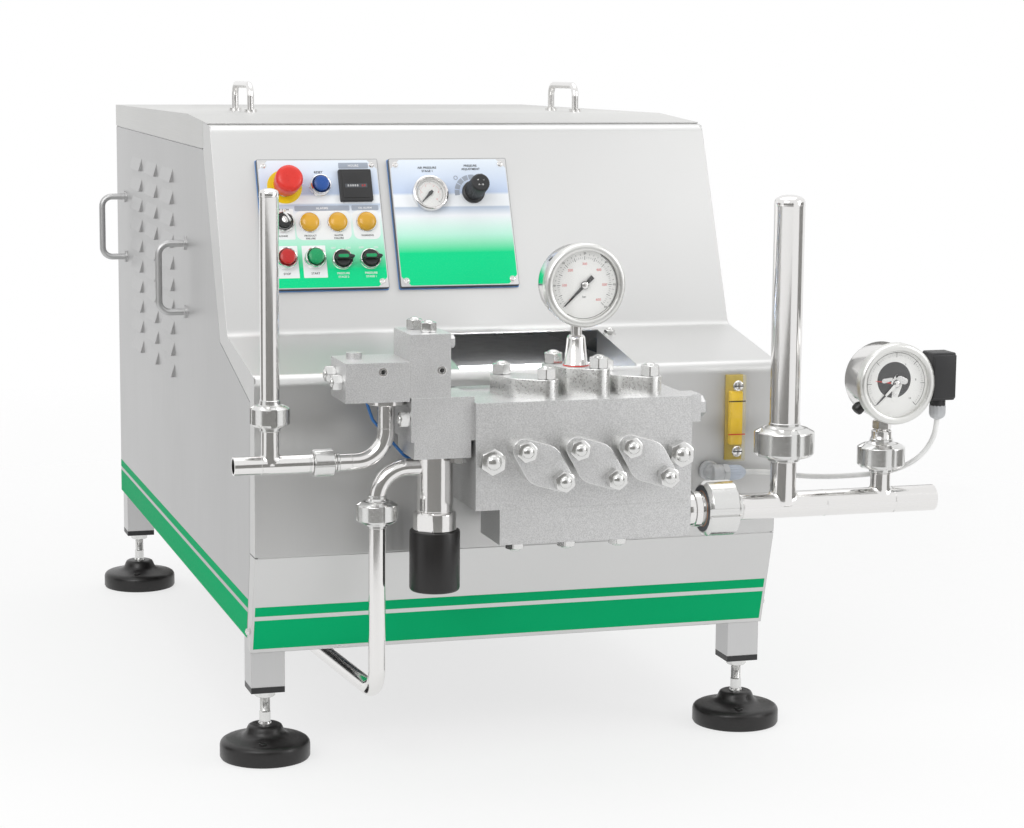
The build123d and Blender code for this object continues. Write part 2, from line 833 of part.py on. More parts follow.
def valve_actuator():
    """Steel cylinder of the pneumatic actuator with its flatted collar."""
    top = base_z[0] - base_plate_height
    middle = (actuator_x, valve_axis_y)
    barrel = rod((*middle, collar_z[1]), (0, 0, 1), actuator_radius, top - collar_z[1])
    collar = rod((*middle, collar_z[0]), (0, 0, 1), collar_radius, collar_z[1] - collar_z[0])
    flat = collar_radius * 2
    for side in (-1, 1):
        x = actuator_x + side * (collar_radius * 0.9 + flat / 2)
        cut_z = (collar_z[0] - 1, collar_z[1] + 1)
        collar -= box((x - flat / 2, x + flat / 2), (middle[1] - flat, middle[1] + flat), cut_z)
    return barrel + collar


def actuator_cap():
    """Black cap that closes the actuator from below, with a rounded end."""
    height = collar_z[0] - actuator_cap_bottom_z
    r = actuator_cap_radius
    return turned(
        ((0, 0), (r, 0), (r, height - 12), (r - 3, height - 5), (r - 12, height), (0, height)),
        (actuator_x, valve_axis_y, collar_z[0]),
        (0, 0, -1),
    )


# Pipework


def weld_bead(x, y, z, radius):
    """The raised seam round a pipe along X, where a piece of it is welded on."""
    return rod((x - weld_width / 2, y, z), (1, 0, 0), radius + weld_rise, weld_width)


def outlet_run(radius, tee):
    """The outlet elbow, its straight run and its tee, at a pipe and a tee radius."""
    start = side_block_z[0]
    points = [
        (outlet_drop_x, valve_axis_y, start),
        (outlet_drop_x, valve_axis_y, outlet_z),
        (outlet_end_x, valve_axis_y, outlet_z),
    ]
    run = bent_rod(points, elbow_radius, radius)
    branch = rod((outlet_damper_x, valve_axis_y, outlet_z), (0, 0, 1), radius, outlet_branch_top_z - outlet_z)
    body = rod((outlet_end_x, valve_axis_y, outlet_z), (1, 0, 0), tee, tee_length)
    return run + branch + body


def outlet_pipework():
    """Product outlet: flanged elbow, straight run and tee with an open end."""
    bore_radius = small_pipe_radius - pipe_wall
    bead = weld_bead(outlet_end_x + outlet_end_length + weld_width / 2, valve_axis_y, outlet_z, tee_radius)
    pipe = outlet_run(small_pipe_radius, tee_radius) + bead - outlet_run(bore_radius, bore_radius)
    width, height = outlet_flange
    half = width / 2
    flange_z = (side_block_z[0] - height, side_block_z[0])
    flange = box((outlet_drop_x - half, outlet_drop_x + half), (valve_axis_y - half, valve_axis_y + half), flange_z)
    bore = rod((outlet_drop_x, valve_axis_y, flange_z[0] - 1), (0, 0, 1), bore_radius, height + 2)
    return pipe + (flange - bore)


def inlet_run(radius, shrink):
    """The inlet pipe and its two branches, at radii that differ by the wall."""
    start_x = block_x[1] + 9
    run = rod((start_x, inlet_y, inlet_z), (1, 0, 0), radius, inlet_end_x - start_x)
    first = rod((inlet_damper_x, inlet_y, inlet_z), (0, 0, 1), inlet_damper_radius - 1 - shrink,
                inlet_branch_top_z - inlet_z)
    second = rod((gauge_branch_x, inlet_y, inlet_z), (0, 0, 1), gauge_branch_radius - shrink,
                 gauge_branch_top_z - inlet_z)
    return run + first + second


def inlet_pipework():
    """Product inlet: a straight pipe with branches for the damper and the gauge."""
    bead = weld_bead(inlet_end_x - inlet_end_length - weld_width / 2, inlet_y, inlet_z, large_pipe_radius)
    return inlet_run(large_pipe_radius, 0) + bead - inlet_run(large_pipe_radius - pipe_wall, pipe_wall)


def drain_pipe():
    """Drain from the valve actuator: elbow, long drop and a run under the cabinet."""
    start_x = actuator_x - math.sqrt(actuator_radius**2 - small_pipe_radius**2) + 0.5
    points = [
        (start_x, valve_axis_y, drain_z),
        (drain_x, valve_axis_y, drain_z),
        (drain_x, valve_axis_y, drain_low_z),
        (drain_x, drain_end_y, drain_low_z),
    ]
    pipe = bent_rod(points, elbow_radius, small_pipe_radius)
    mouth = rod((drain_x, drain_end_y + 1, drain_low_z), (0, -1, 0), small_pipe_radius - pipe_wall, 40)
    clear = rod((actuator_x, valve_axis_y, drain_z - 30), (0, 0, 1), actuator_radius + seat, 60)
    return pipe - mouth - clear


def damper(x, y, bottom, radius, top):
    """An upright pulsation damper: a tube with a domed cap and a weld bead."""
    profile = (
        (0, 0),
        (radius, 0),
        (radius, top - bottom - radius * 0.45),
        (radius * 0.85, top - bottom - radius * 0.18),
        (radius * 0.45, top - bottom),
        (0, top - bottom),
    )
    return turned(profile, (x, y, bottom), (0, 0, 1))


def pulsation_dampers():
    """The tall damper of the outlet and the thicker one of the inlet."""
    outlet = damper(outlet_damper_x, valve_axis_y, outlet_branch_top_z + seat, outlet_damper_radius,
                    outlet_damper_top_z)
    inlet = damper(inlet_damper_x, inlet_y, inlet_branch_top_z + seat, inlet_damper_radius,
                   inlet_damper_top_z)
    return [outlet, inlet]


def union_nuts():
    """The round slotted nuts of the pipe unions."""
    up = (0, 0, 1)
    across = (1, 0, 0)
    outlet_nut_x = (outlet_drop_x + outlet_damper_x) / 2 - 7
    outlet_middle = outlet_branch_top_z + outlet_damper_union[1] * 0.45
    inlet_middle = inlet_branch_top_z + inlet_damper_union[1] * 0.45
    gauge_middle = gauge_branch_top_z + gauge_union[1] * 0.45
    inlet_nut_x = block_x[1] + 32 + inlet_union[1] / 2
    drain_middle = drain_union_z + drain_union[1] / 2
    return [
        union_nut((outlet_nut_x, valve_axis_y, outlet_z), across, small_pipe_radius, outlet_union),
        union_nut((outlet_damper_x, valve_axis_y, outlet_middle), up, outlet_damper_radius, outlet_damper_union),
        union_nut((drain_x, valve_axis_y, drain_middle), up, small_pipe_radius, drain_union),
        union_nut((inlet_nut_x, inlet_y, inlet_z), across, large_pipe_radius, inlet_union),
        union_nut((inlet_damper_x, inlet_y, inlet_middle), up, inlet_damper_radius, inlet_damper_union),
        union_nut((gauge_branch_x, inlet_y, gauge_middle), up, gauge_branch_radius, gauge_union),
    ]


# Gauges


def gauge_case(centre, front_depth, case_depth, case_radius, bezel):
    """A round gauge case that faces forward, with a bezel and a recessed dial."""
    return turned(
        (
            (0, -case_depth + front_depth),
            (case_radius - 3, -case_depth + front_depth),
            (case_radius, -case_depth + front_depth + 3),
            (case_radius, front_depth - bezel_depth),
            (bezel, front_depth - bezel_depth),
            (bezel, front_depth - 4),
            (bezel - 5, front_depth),
            (bezel - 8, front_depth),
            (bezel - 8, front_depth - dial_depth),
            (0, front_depth - dial_depth),
        ),
        centre,
        (0, -1, 0),
    )


def main_gauge_case():
    """Main pressure gauge on its cone-shaped adaptor over the middle cover."""
    x = cylinder_x[1]
    y = leaf_centre_y
    case = gauge_case((x, y, main_gauge_z), main_gauge_front, main_gauge_depth, gauge_case_radius,
                      gauge_bezel_radius)
    base = block_z[1] + gauge_leaf_thickness
    neck_bottom = base + 42
    adaptor = taper((x, y, base), (0, 0, 1), 15.5, 9.0, neck_bottom - base)
    neck = rod((x, y, neck_bottom), (0, 0, 1), 8.5, main_gauge_z - gauge_case_radius + 6 - neck_bottom)
    return case + adaptor + neck


def contact_centre():
    return (gauge_branch_x + contact_gauge_drift, inlet_y, contact_gauge_z)


def contact_gauge_case():
    """Inlet gauge with electric contacts, on the second branch of the inlet pipe."""
    centre = contact_centre()
    case = gauge_case(centre, contact_gauge_front, contact_gauge_depth, gauge_case_radius, gauge_bezel_radius)
    bottom = gauge_branch_top_z + seat
    top = contact_gauge_z - gauge_case_radius + 6
    neck = rod((gauge_branch_x, inlet_y, bottom), (0, 0, 1), gauge_branch_radius, 34)
    socket = rod((gauge_branch_x, inlet_y, bottom + 34), (0, 0, 1), 9.0, top - bottom - 34)
    socket += hexagon((gauge_branch_x, inlet_y, top - 22), (0, 0, 1), 22, 12)
    plug_y = inlet_y - contact_gauge_front + contact_gauge_depth * 0.5
    post = rod((centre[0] + gauge_case_radius - 4, plug_y, contact_gauge_z), (1, 0, 0), 12, plug_neck + 4)
    return case + neck + socket + post


def plug_corner():
    """Low corner of the angled plug on the contact gauge's right side."""
    centre = contact_centre()
    x = centre[0] + gauge_case_radius + plug_neck
    y = inlet_y - contact_gauge_front + contact_gauge_depth * 0.5 - plug_size[1] / 2
    return x, y, contact_gauge_z + 14 - plug_size[2] / 2 - 8


def gauge_plug():
    """Black angled plug of the contact gauge, with its cable gland below."""
    x, y, z = plug_corner()
    body = box((x, x + plug_size[0]), (y, y + plug_size[1]), (z, z + plug_size[2]))
    body = fillet(body.edges().filter_by(Axis.Z), 3)
    middle = (x + plug_size[0] / 2, y + plug_size[1] / 2)
    nut = hexagon((*middle, z), (0, 0, -1), 22, 12)
    collar = taper((*middle, z - 12), (0, 0, -1), 10.5, 7.5, 8)
    hole = rod((*middle, z - 21), (0, 0, 1), cable_radius + 0.3, 21)
    return body + nut + collar - hole


def pointer(centre, out, radius, turn):
    """A dial pointer with its hub; it turns about the hub, just over the dial."""
    blade = Polyline((0, 2.2), (radius, 0.5), (radius, -0.5), (0, -2.2), (-radius * 0.3, -1.8),
                     (-radius * 0.3, 1.8), close=True)
    flat = extrude(make_face(blade), pointer_thickness)
    hub = Cylinder(min(pointer_hub_radius, radius * 0.15), pointer_thickness + 1.5,
                   align=(Align.CENTER, Align.CENTER, Align.MIN))
    place = Plane(origin=centre, x_dir=(1, 0, 0), z_dir=out)
    return place * Rot(0, 0, turn) * (flat + hub)


def main_gauge_pointer():
    y = leaf_centre_y - main_gauge_front + dial_depth - seat - 0.4
    return pointer((cylinder_x[1], y, main_gauge_z), (0, -1, 0), pointer_length, pointer_rest_turn)


def contact_gauge_pointer():
    x, y, z = contact_centre()
    y += -contact_gauge_front + dial_depth - seat - 0.4
    return pointer((x, y, z), (0, -1, 0), pointer_length, pointer_rest_turn)


def air_gauge_place(out):
    return slope_plane(plate_left_edges[1] + air_gauge_from_left, air_gauge_down, plate_thickness + out)


def air_gauge_case():
    """Small air gauge let into the right-hand control plate."""
    r = air_gauge_radius
    profile = ((0, 0), (r, 0), (r, air_gauge_height - 2), (r - 2, air_gauge_height), (r - 4, air_gauge_height),
               (r - 4, 4), (0, 4))
    body = turned(profile, (0, 0, 0), (0, 0, 1))
    return air_gauge_place(0) * body


def air_gauge_pointer():
    length = air_gauge_radius - 8
    flat = pointer((0, 0, 0), (0, 0, 1), length, pointer_rest_turn)
    return air_gauge_place(4 + seat) * flat


def gauge_lenses():
    """The flat glasses of the three gauges, held in their bezels."""
    lenses = []
    front_1 = leaf_centre_y - main_gauge_front
    lens_radius = gauge_bezel_radius - 8 - 0.05
    lenses.append(rod((cylinder_x[1], front_1 + 0.8, main_gauge_z), (0, 1, 0), lens_radius, lens_thickness))
    x, y, z = contact_centre()
    lenses.append(rod((x, y - contact_gauge_front + 0.8, z), (0, 1, 0), lens_radius, lens_thickness))
    small = Cylinder(air_gauge_radius - 4 - 0.05, 1.5, align=(Align.CENTER, Align.CENTER, Align.MIN))
    lenses.append(air_gauge_place(air_gauge_height - 2) * small)
    return lenses


# Control plates and what is on them


def control_plates():
    """Two printed plates on the sloped face, with clipped corners and screws."""
    pieces = []
    width, height = plate_size
    for edge in plate_left_edges:
        plate = slope_plane(edge + width / 2, plate_down + height / 2)
        outline = RectangleRounded(width, height, plate_edge_radius)
        pieces.append(plate * extrude(outline, plate_thickness))
        reach = 0.5 * Vector(width, height)
        for sx in (-1, 1):
            for sy in (-1, 1):
                spot = (sx * (reach.X - plate_screw_inset), sy * (reach.Y - plate_screw_inset))
                head = Cylinder(plate_screw_radius, plate_screw_height, align=(Align.CENTER, Align.CENTER, Align.MIN))
                pieces.append(plate * Pos(spot[0], spot[1], plate_thickness) * head)
    stem_hole = Cylinder(stem_radius + hole_clearance, 4 * plate_thickness)
    holes = [control_place(place, -plate_thickness / 2) * stem_hole for place in stem_places()]
    pieces[0] = pieces[0] - holes
    return pieces


def control_place(place, out=0.0):
    """A plane on the left control plate, where a control stands."""
    from_left, down = place
    return slope_plane(plate_left_edges[0] + from_left, down, plate_thickness + out)


def stem_places():
    """Where the stems of buttons, key switch and selectors pass through the plate."""
    return [estop_at, reset_at, key_at, stop_at, start_at, *selectors_at]


def ring(inner, outer, height):
    align = (Align.CENTER, Align.CENTER, Align.MIN)
    return Cylinder(outer, height, align=align) - Cylinder(inner, height * 3)


def switch_bezels():
    """The screwed collars round the buttons, the key switch and the selectors."""
    bezels = []
    for place in stem_places():
        height = estop_collar if place == estop_at else bezel_height
        body = ring(stem_radius + stem_clearance, bezel_radius, height)
        bezels.append(control_place(place) * body)
    return bezels


def plunged(place, shaft_depth, head):
    """A control's head on the stem that slides or turns in its collar."""
    align = (Align.CENTER, Align.CENTER, Align.MAX)
    stem = Cylinder(stem_radius, shaft_depth, align=align)
    return place * (head + stem)


def estop_head():
    """Mushroom head of the emergency stop."""
    profile = ((0, 0), (estop_radius - 3, 0), (estop_radius, estop_height * 0.6), (estop_radius, estop_height - 7),
               (estop_radius - 4, estop_height - 2), (estop_radius - 10, estop_height), (0, estop_height))
    head = turned(profile, (0, 0, 0), (0, 0, 1))
    lift = estop_collar + estop_travel + seat
    return plunged(control_place(estop_at, lift), lift + stem_depth - 4, head)


def push_button(place):
    """A flat push-button head, its travel above the collar."""
    profile = ((0, 0), (button_radius, 0), (button_radius, button_height - 2), (button_radius - 2, button_height),
               (0, button_height))
    head = turned(profile, (0, 0, 0), (0, 0, 1))
    lift = bezel_height + button_travel + seat
    return plunged(control_place(place, lift), lift + stem_depth - button_travel - 2, head)


def alarm_lamps():
    """Three domed signal lamps in the middle row."""
    profile = ((0, 0), (bezel_radius, 0), (bezel_radius, 3), (lamp_radius, 3.5), (lamp_radius, 6),
               (lamp_radius - 3, lamp_height), (0, lamp_height + 1))
    return [control_place(place) * turned(profile, (0, 0, 0), (0, 0, 1)) for place in lamps_at]


def key_barrel():
    """Key switch barrel with the key in it, in its middle position."""
    head = Cylinder(knob_radius - 1.5, 4, align=(Align.CENTER, Align.CENTER, Align.MIN))
    blade = box((-1.2, 1.2), (-4, 4), (4, 12))
    bow = box((-1.2, 1.2), (-9, 9), (12, 27))
    head += Rot(0, 0, -60) * (blade + bow)
    return plunged(control_place(key_at, bezel_height + seat), bezel_height + seat + stem_depth - 4, head)


def selector(place):
    """A selector knob with a raised handle bar that points at ON."""
    head = Cylinder(knob_radius, knob_height * 0.5, align=(Align.CENTER, Align.CENTER, Align.MIN))
    bar = box((-knob_radius * 0.9, knob_radius * 1.05), (-3.2, 3.2), (0, knob_height))
    head += bar
    lift = bezel_height + seat
    return plunged(control_place(place, lift), lift + stem_depth - 4, head)


def hour_counter():
    """Square running-hours counter with a stepped frame."""
    half = counter_width / 2
    body = extrude(RectangleRounded(counter_width, counter_width, 2), 7)
    body -= Pos(0, 0, 7) * Box(counter_width - 2 * counter_frame, half, 5)
    return control_place(counter_at) * body


def regulator_place(out):
    return slope_plane(plate_left_edges[1] + regulator_from_left, regulator_down, plate_thickness + out)


def air_regulator_body():
    """Panel collar and neck of the air pressure regulator."""
    r = regulator_radius
    length = regulator_body_length
    profile = ((0, 0), (r, 0), (r, 6), (r - 3, 8), (r - 3, length), (0, length))
    body = turned(profile, (0, 0, 0), (0, 0, 1))
    socket = Pos(0, 0, length) * Cylinder(4.05, 2 * length * 0.6)
    return regulator_place(0) * (body - socket)


def air_regulator_knob():
    """Ribbed regulator knob on its spindle."""
    r = regulator_knob_radius
    length = regulator_knob_length
    profile = ((0, 0), (r, 0), (r, length - 3), (r - 3, length), (0, length))
    knob = turned(profile, (0, 0, 0), (0, 0, 1))
    for step in range(12):
        knob -= Rot(0, 0, 30 * step) * Pos(r + 0.6, 0, length / 2) * Box(2.4, 2.0, length * 0.7)
    spindle = Cylinder(4.0, regulator_body_length * 0.55, align=(Align.CENTER, Align.CENTER, Align.MAX))
    return regulator_place(regulator_body_length + seat) * (knob + spindle)


# Crank drive inside the cabinet


def crankcase_x():
    return block_mid_x - crankcase_side, block_mid_x + crankcase_side


def crosshead_front_y():
    """Front end of the crossheads in the middle of their stroke."""
    return crankcase_front_y + crosshead_setback


def crankcase():
    """Cast crankcase: bearing walls, a front wall with crosshead guides, a lid."""
    x = crankcase_x()
    front = crankcase_front_y
    case = box(x, (front, crankcase_rear_y), crankcase_z)
    wall = crankcase_wall
    guide_rear = crosshead_front_y() + crosshead_length * 0.75
    cavity = box((x[0] + wall, x[1] - wall), (guide_rear, crankcase_rear_y - wall),
                 (crankcase_z[0] + wall, crankcase_z[1] - wall))
    case -= cavity
    for cx in cylinder_x:
        start = (cx, front - 1, cylinder_z)
        case -= rod(start, (0, 1, 0), crosshead_radius + crosshead_clearance, guide_rear - front + 2)
    bore = rod((x[0] - 1, crank_y, cylinder_z), (1, 0, 0), journal_radius + plunger_clearance, x[1] - x[0] + 2)
    spacer_z = (crankcase_z[0], tray_floor_z - seat)
    spacer = box((cylinder_x[0] - 36, cylinder_x[2] + 36), (block_rear_y, front), spacer_z)
    return case - bore + spacer


def crank_angles():
    return (0, 120, 240)


def crankshaft():
    """Shaft with three eccentrics at 120 degrees and the driven pulley."""
    x = crankcase_x()
    start = x[0] + 2
    shaft = rod((start, crank_y, cylinder_z), (1, 0, 0), journal_radius, pulley_x + pulley_width - start)
    for cx, angle in zip(cylinder_x, crank_angles()):
        middle = eccentric_centre(angle)
        shaft += rod((cx - rod_width / 2 - 1, *middle), (1, 0, 0), eccentric_radius, rod_width + 2)
    return shaft + pulley((pulley_x, crank_y, cylinder_z), driven_pulley_radius)


def eccentric_centre(angle):
    """(y, z) of an eccentric's middle, turned from straight down."""
    turn = math.radians(angle)
    return (crank_y + crankpin_throw * math.sin(turn), cylinder_z - crankpin_throw * math.cos(turn))


def plunger_shift(angle):
    """How far a plunger stands from its middle place, for its eccentric's angle."""
    return eccentric_centre(angle)[0] - crank_y


def pulley(origin, radius):
    """A V-belt pulley along +X, turned with one groove for each belt."""
    pitch = pulley_width / belt_count
    profile = [(0, 0), (radius, 0)]
    for index in range(belt_count):
        middle = pitch * (index + 0.5)
        profile += [
            (radius, middle - belt_width / 2 - 1),
            (radius - belt_height - 2, middle - belt_width / 4 - 1),
            (radius - belt_height - 2, middle + belt_width / 4 + 1),
            (radius, middle + belt_width / 2 + 1),
        ]
    profile += [(radius, pulley_width), (0, pulley_width)]
    return turned(profile, origin, (1, 0, 0))


def drive_belts():
    """V-belts round both pulleys: closed loops that just clear the grooves."""
    belts = []
    pitch = pulley_width / belt_count
    floor = belt_height + 2 - belt_clearance
    for index in range(belt_count):
        x = pulley_x + pitch * (index + 0.5) - belt_width / 4
        inner = belt_loop(driven_pulley_radius - floor, motor_pulley_radius - floor)
        outer = belt_loop(driven_pulley_radius - floor + belt_height, motor_pulley_radius - floor + belt_height)
        loop = Pos(x, 0, 0) * extrude(outer - inner, belt_width / 2, dir=(1, 0, 0))
        belts.append(loop)
    return belts


def belt_loop(first_radius, second_radius):
    """The face inside a belt loop round the two shafts, in the YZ plane."""
    plane = Plane(origin=(0, 0, 0), x_dir=(0, 1, 0), z_dir=(1, 0, 0))
    first = (Pos(crank_y, cylinder_z) * Circle(first_radius)).edges()
    second = (Pos(motor_y, motor_z) * Circle(second_radius)).edges()
    return plane * make_hull(first + second)


def gudgeon_y(angle):
    """Where a crosshead's pin lies, for the angle of its eccentric."""
    return crosshead_front_y() + crosshead_length - 22 + plunger_shift(angle)


def connecting_rods():
    """Connecting rods between the eccentrics and the crosshead pins."""
    rods = []
    for cx, angle in zip(cylinder_x, crank_angles()):
        big = eccentric_centre(angle)
        small = (gudgeon_y(angle), cylinder_z)
        x = cx - rod_width / 2
        outer = eccentric_radius + rod_ring
        body = rod((x, *big), (1, 0, 0), outer, rod_width)
        eye = rod((cx - 8, *small), (1, 0, 0), gudgeon_radius + 7, 16)
        span = Vector(0, small[0] - big[0], small[1] - big[1])
        place = Plane(origin=(cx, *big), x_dir=(1, 0, 0), z_dir=span)
        shank = place * Box(14, 20, span.length, align=(Align.CENTER, Align.CENTER, Align.MIN))
        body += eye + shank
        body -= rod((x - 1, *big), (1, 0, 0), eccentric_radius + rod_bore_clearance, rod_width + 2)
        body -= rod((cx - 9, *small), (1, 0, 0), gudgeon_radius + rod_bore_clearance, 18)
        rods.append(body)
    return rods


def plunger(index):
    """A ceramic plunger with its crosshead and gudgeon pin."""
    angle = crank_angles()[index]
    x = cylinder_x[index]
    shift = plunger_shift(angle)
    front = crosshead_front_y() + shift
    tip = block_rear_y - plunger_bore_depth + plunger_end_gap + crankpin_throw + shift
    bar = rod((x, tip, cylinder_z), (0, 1, 0), plunger_radius, front - tip)
    head = rod((x, front, cylinder_z), (0, 1, 0), crosshead_radius, crosshead_length)
    slot_y = (front + crosshead_length - 44, front + crosshead_length + 1)
    head -= box((x - 9.5, x + 9.5), slot_y, (cylinder_z - 40, cylinder_z + 40))
    pin_x = crosshead_radius - 3
    head += rod((x - pin_x, gudgeon_y(angle), cylinder_z), (1, 0, 0), gudgeon_radius, 2 * pin_x)
    return bar + head


def drive_motor():
    """Foot-mounted electric motor with a terminal box and a fan cowl."""
    x = motor_left_x
    middle_x = x + motor_length / 2
    barrel = motor_radius * 0.93
    flange = motor_length * 0.055
    body = rod((x, motor_y, motor_z), (1, 0, 0), barrel, motor_length)
    cowl = rod((x - cowl_length, motor_y, motor_z), (1, 0, 0), motor_radius * 0.98, cowl_length)
    end = rod((x + motor_length - flange, motor_y, motor_z), (1, 0, 0), motor_radius, flange)
    box_z = (motor_z + motor_radius * 0.78, motor_z + motor_radius * 1.43)
    box_y = (motor_y - motor_radius * 0.54, motor_y + motor_radius * 0.54)
    terminal = box((middle_x - terminal_length / 2, middle_x + terminal_length / 2), box_y, box_z)
    feet_x = (middle_x - motor_length * 0.38, middle_x + motor_length * 0.38)
    feet_y = (motor_y - motor_radius * 0.72, motor_y + motor_radius * 0.72)
    feet = box(feet_x, feet_y, (motor_z - motor_radius, motor_z - motor_radius * 0.83))
    fin_x = (x + flange * 0.3, x + motor_length - flange * 1.3)
    for step in range(12):
        fin = Rot(30 * step, 0, 0) * box(fin_x, (-2, 2), (motor_radius * 0.89, motor_radius * 0.99))
        if step not in (0, 6):
            body += Pos(0, motor_y, motor_z) * fin
    shaft_start = x + motor_length
    shaft = rod((shaft_start, motor_y, motor_z), (1, 0, 0), shaft_radius,
                pulley_x + pulley_width - shaft_start - 4)
    return body + cowl + end + terminal + feet + shaft


def motor_pulley():
    """Pulley that turns with the motor shaft."""
    wheel = pulley((pulley_x, motor_y, motor_z), motor_pulley_radius)
    bore = rod((pulley_x - 1, motor_y, motor_z), (1, 0, 0), shaft_radius + plunger_clearance, pulley_width + 2)
    return wheel - bore


# Small fittings


def oil_sight_glass():
    """Oil level glass: a flat metal frame with a glass bar behind its window."""
    width, depth = sight_size
    z = sight_z
    body = box((sight_x - width / 2, sight_x + width / 2), (-depth, 0), z)
    slot = box((sight_x - width / 2 + 6, sight_x + width / 2 - 6), (-depth - 1, -depth + 4), (z[0] + 22, z[1] - 22))
    body -= slot
    for height in (z[0] + 10, z[1] - 10):
        body += rod((sight_x, -depth, height), (0, -1, 0), 5.5, 4)
    return body


def wall_gland():
    """Elbow gland of the gauge cable, out of the upright front sheet."""
    stub = rod((gland_x + 12, 0, gland_z), (0, -1, 0), 9, -gland_y)
    disc = rod((gland_x, gland_y, gland_z), (1, 0, 0), 12, 3)
    body = rod((gland_x + 3, gland_y, gland_z), (1, 0, 0), 9.5, 33)
    nut = hexagon((gland_x + 36, gland_y, gland_z), (1, 0, 0), 21, 12)
    collar = taper((gland_x + 48, gland_y, gland_z), (1, 0, 0), 9.5, 7, gland_length - 48)
    hole = rod((gland_x + gland_length - 15, gland_y, gland_z), (1, 0, 0), cable_radius + 0.3, 16)
    return stub + disc + body + nut + collar - hole


def cable_route():
    """The gauge cable's points, from the wall gland to the gauge's plug."""
    return [
        (294.0, -25.0, 373.0),
        (322.0, -25.0, 373.0),
        (352.0, -26.0, 370.0),
        (386.0, -30.0, 364.5),
        (422.0, -38.0, 363.5),
        (455.0, -50.0, 366.0),
        (484.0, -66.0, 370.5),
        (509.0, -84.0, 380.0),
        (527.0, -100.0, 396.0),
        (538.0, -111.0, 417.0),
        (plug_hole()[0], plug_hole()[1], 439.0),
        (plug_hole()[0], plug_hole()[1], 462.0),
    ]


def plug_hole():
    """(x, y) of the cable hole in the gauge's plug."""
    x, y, _ = plug_corner()
    return x + plug_size[0] / 2, y + plug_size[1] / 2


def gauge_cable():
    """The contact gauge's cable: straight runs joined by wide arcs."""
    route = [Vector(*point) for point in cable_route()]
    radii = []
    for before, here, after in zip(route, route[1:], route[2:]):
        turn = (here - before).get_angle(after - here)
        shorter = min((here - before).length, (after - here).length)
        radii.append(0.45 * shorter / math.tan(math.radians(turn) / 2))
    print("cable radii", [round(value) for value in radii])
    path = FilletPolyline(*route, radius=radii)
    end = Plane(origin=route[0], z_dir=route[1] - route[0])
    cable = sweep(end * Circle(cable_radius), path=path)
    print("cable length", round(path.length, 1), "volume ratio",
          round(cable.volume / (math.pi * cable_radius**2 * path.length), 4))
    return cable


def air_hoses():
    """Blue drip hoses: each leaves a fitting on the crankcase and ends over a plunger."""
    hoses = []
    drip_y = crankcase_front_y - hose_reach
    tip_z = cylinder_z + plunger_radius + hose_drip_gap
    for middle in cylinder_x:
        x = middle + hose_offset
        start = (x, crankcase_front_y, hose_z)
        fitting = rod(start, (0, -1, 0), 2 * hose_radius, 3 * hose_radius)
        hoses.append(bent_rod([start, (x, drip_y, hose_z), (x, drip_y, tip_z)], hose_bend, hose_radius) + fitting)
    return hoses


def build():
    """Every sub-part by its node's name, in the working frame."""
    parts = {
        "base_frame": base_frame(),
        "leg_inserts": leg_inserts(),
        "front_cover": front_cover(),
        "front_skirt": front_skirt(),
        "rear_panel": rear_panel(),
        "left_side_panel": side_panel(-1),
        "right_side_panel": side_panel(1),
        "top_cover": top_cover(),
        "lifting_handles": lifting_handles(),
        "control_plates": control_plates(),
        "switch_bezels": switch_bezels(),
        "estop_head": estop_head(),
        "reset_button": push_button(reset_at),
        "stop_button": push_button(stop_at),
        "start_button": push_button(start_at),
        "alarm_lamps": alarm_lamps(),
        "key_barrel": key_barrel(),
        "stage_1_selector": selector(selectors_at[0]),
        "stage_2_selector": selector(selectors_at[1]),
        "hour_counter": hour_counter(),
        "air_gauge_case": air_gauge_case(),
        "air_gauge_pointer": air_gauge_pointer(),
        "air_regulator_body": air_regulator_body(),
        "air_regulator_knob": air_regulator_knob(),
        "crankcase": crankcase(),
        "crankshaft": crankshaft(),
        "connecting_rods": connecting_rods(),
        "drive_motor": drive_motor(),
        "motor_pulley": motor_pulley(),
        "drive_belts": drive_belts(),
        "pump_block": pump_block(),
        "suction_manifold": suction_manifold(),
        "valve_covers": valve_covers(),
        "cap_nuts": cap_nuts(),
        "valve_base_block": valve_base_block(),
        "first_stage_block": first_stage_block(),
        "second_stage_block": second_stage_block(),
        "valve_actuator": valve_actuator(),
        "actuator_cap": actuator_cap(),
        "main_gauge_case": main_gauge_case(),
        "main_gauge_pointer": main_gauge_pointer(),
        "contact_gauge_case": contact_gauge_case(),
        "contact_gauge_pointer": contact_gauge_pointer(),
        "gauge_lenses": gauge_lenses(),
        "outlet_pipework": outlet_pipework(),
        "inlet_pipework": inlet_pipework(),
        "drain_pipe": drain_pipe(),
        "pulsation_dampers": pulsation_dampers(),
        "union_nuts": union_nuts(),
        "cable_fittings": [wall_gland(), gauge_plug()],
        "gauge_cable": gauge_cable(),
        "oil_sight_glass": oil_sight_glass(),
        "air_hoses": air_hoses(),
    }
    for name, (x, y) in leg_centres().items():
        parts["foot_" + name] = levelling_foot(x, y)
    for index, name in enumerate(("plunger_left", "plunger_middle", "plunger_right")):
        parts[name] = plunger(index)
    return parts


def solids_of(piece):
    """The separate solids of one piece or of a list of pieces."""
    pieces = piece if isinstance(piece, list) else [piece]
    return [solid for part in pieces for solid in part.solids()]


def footprint_centre(parts):
    """Middle of the machine's bounding box in plan, without the free cable."""
    rigid = [solid for name, piece in parts.items() if name != "gauge_cable" for solid in solids_of(piece)]
    boxes = [solid.bounding_box() for solid in rigid]
    x = (min(b.min.X for b in boxes) + max(b.max.X for b in boxes)) / 2
    y = (min(b.min.Y for b in boxes) + max(b.max.Y for b in boxes)) / 2
    return x, y


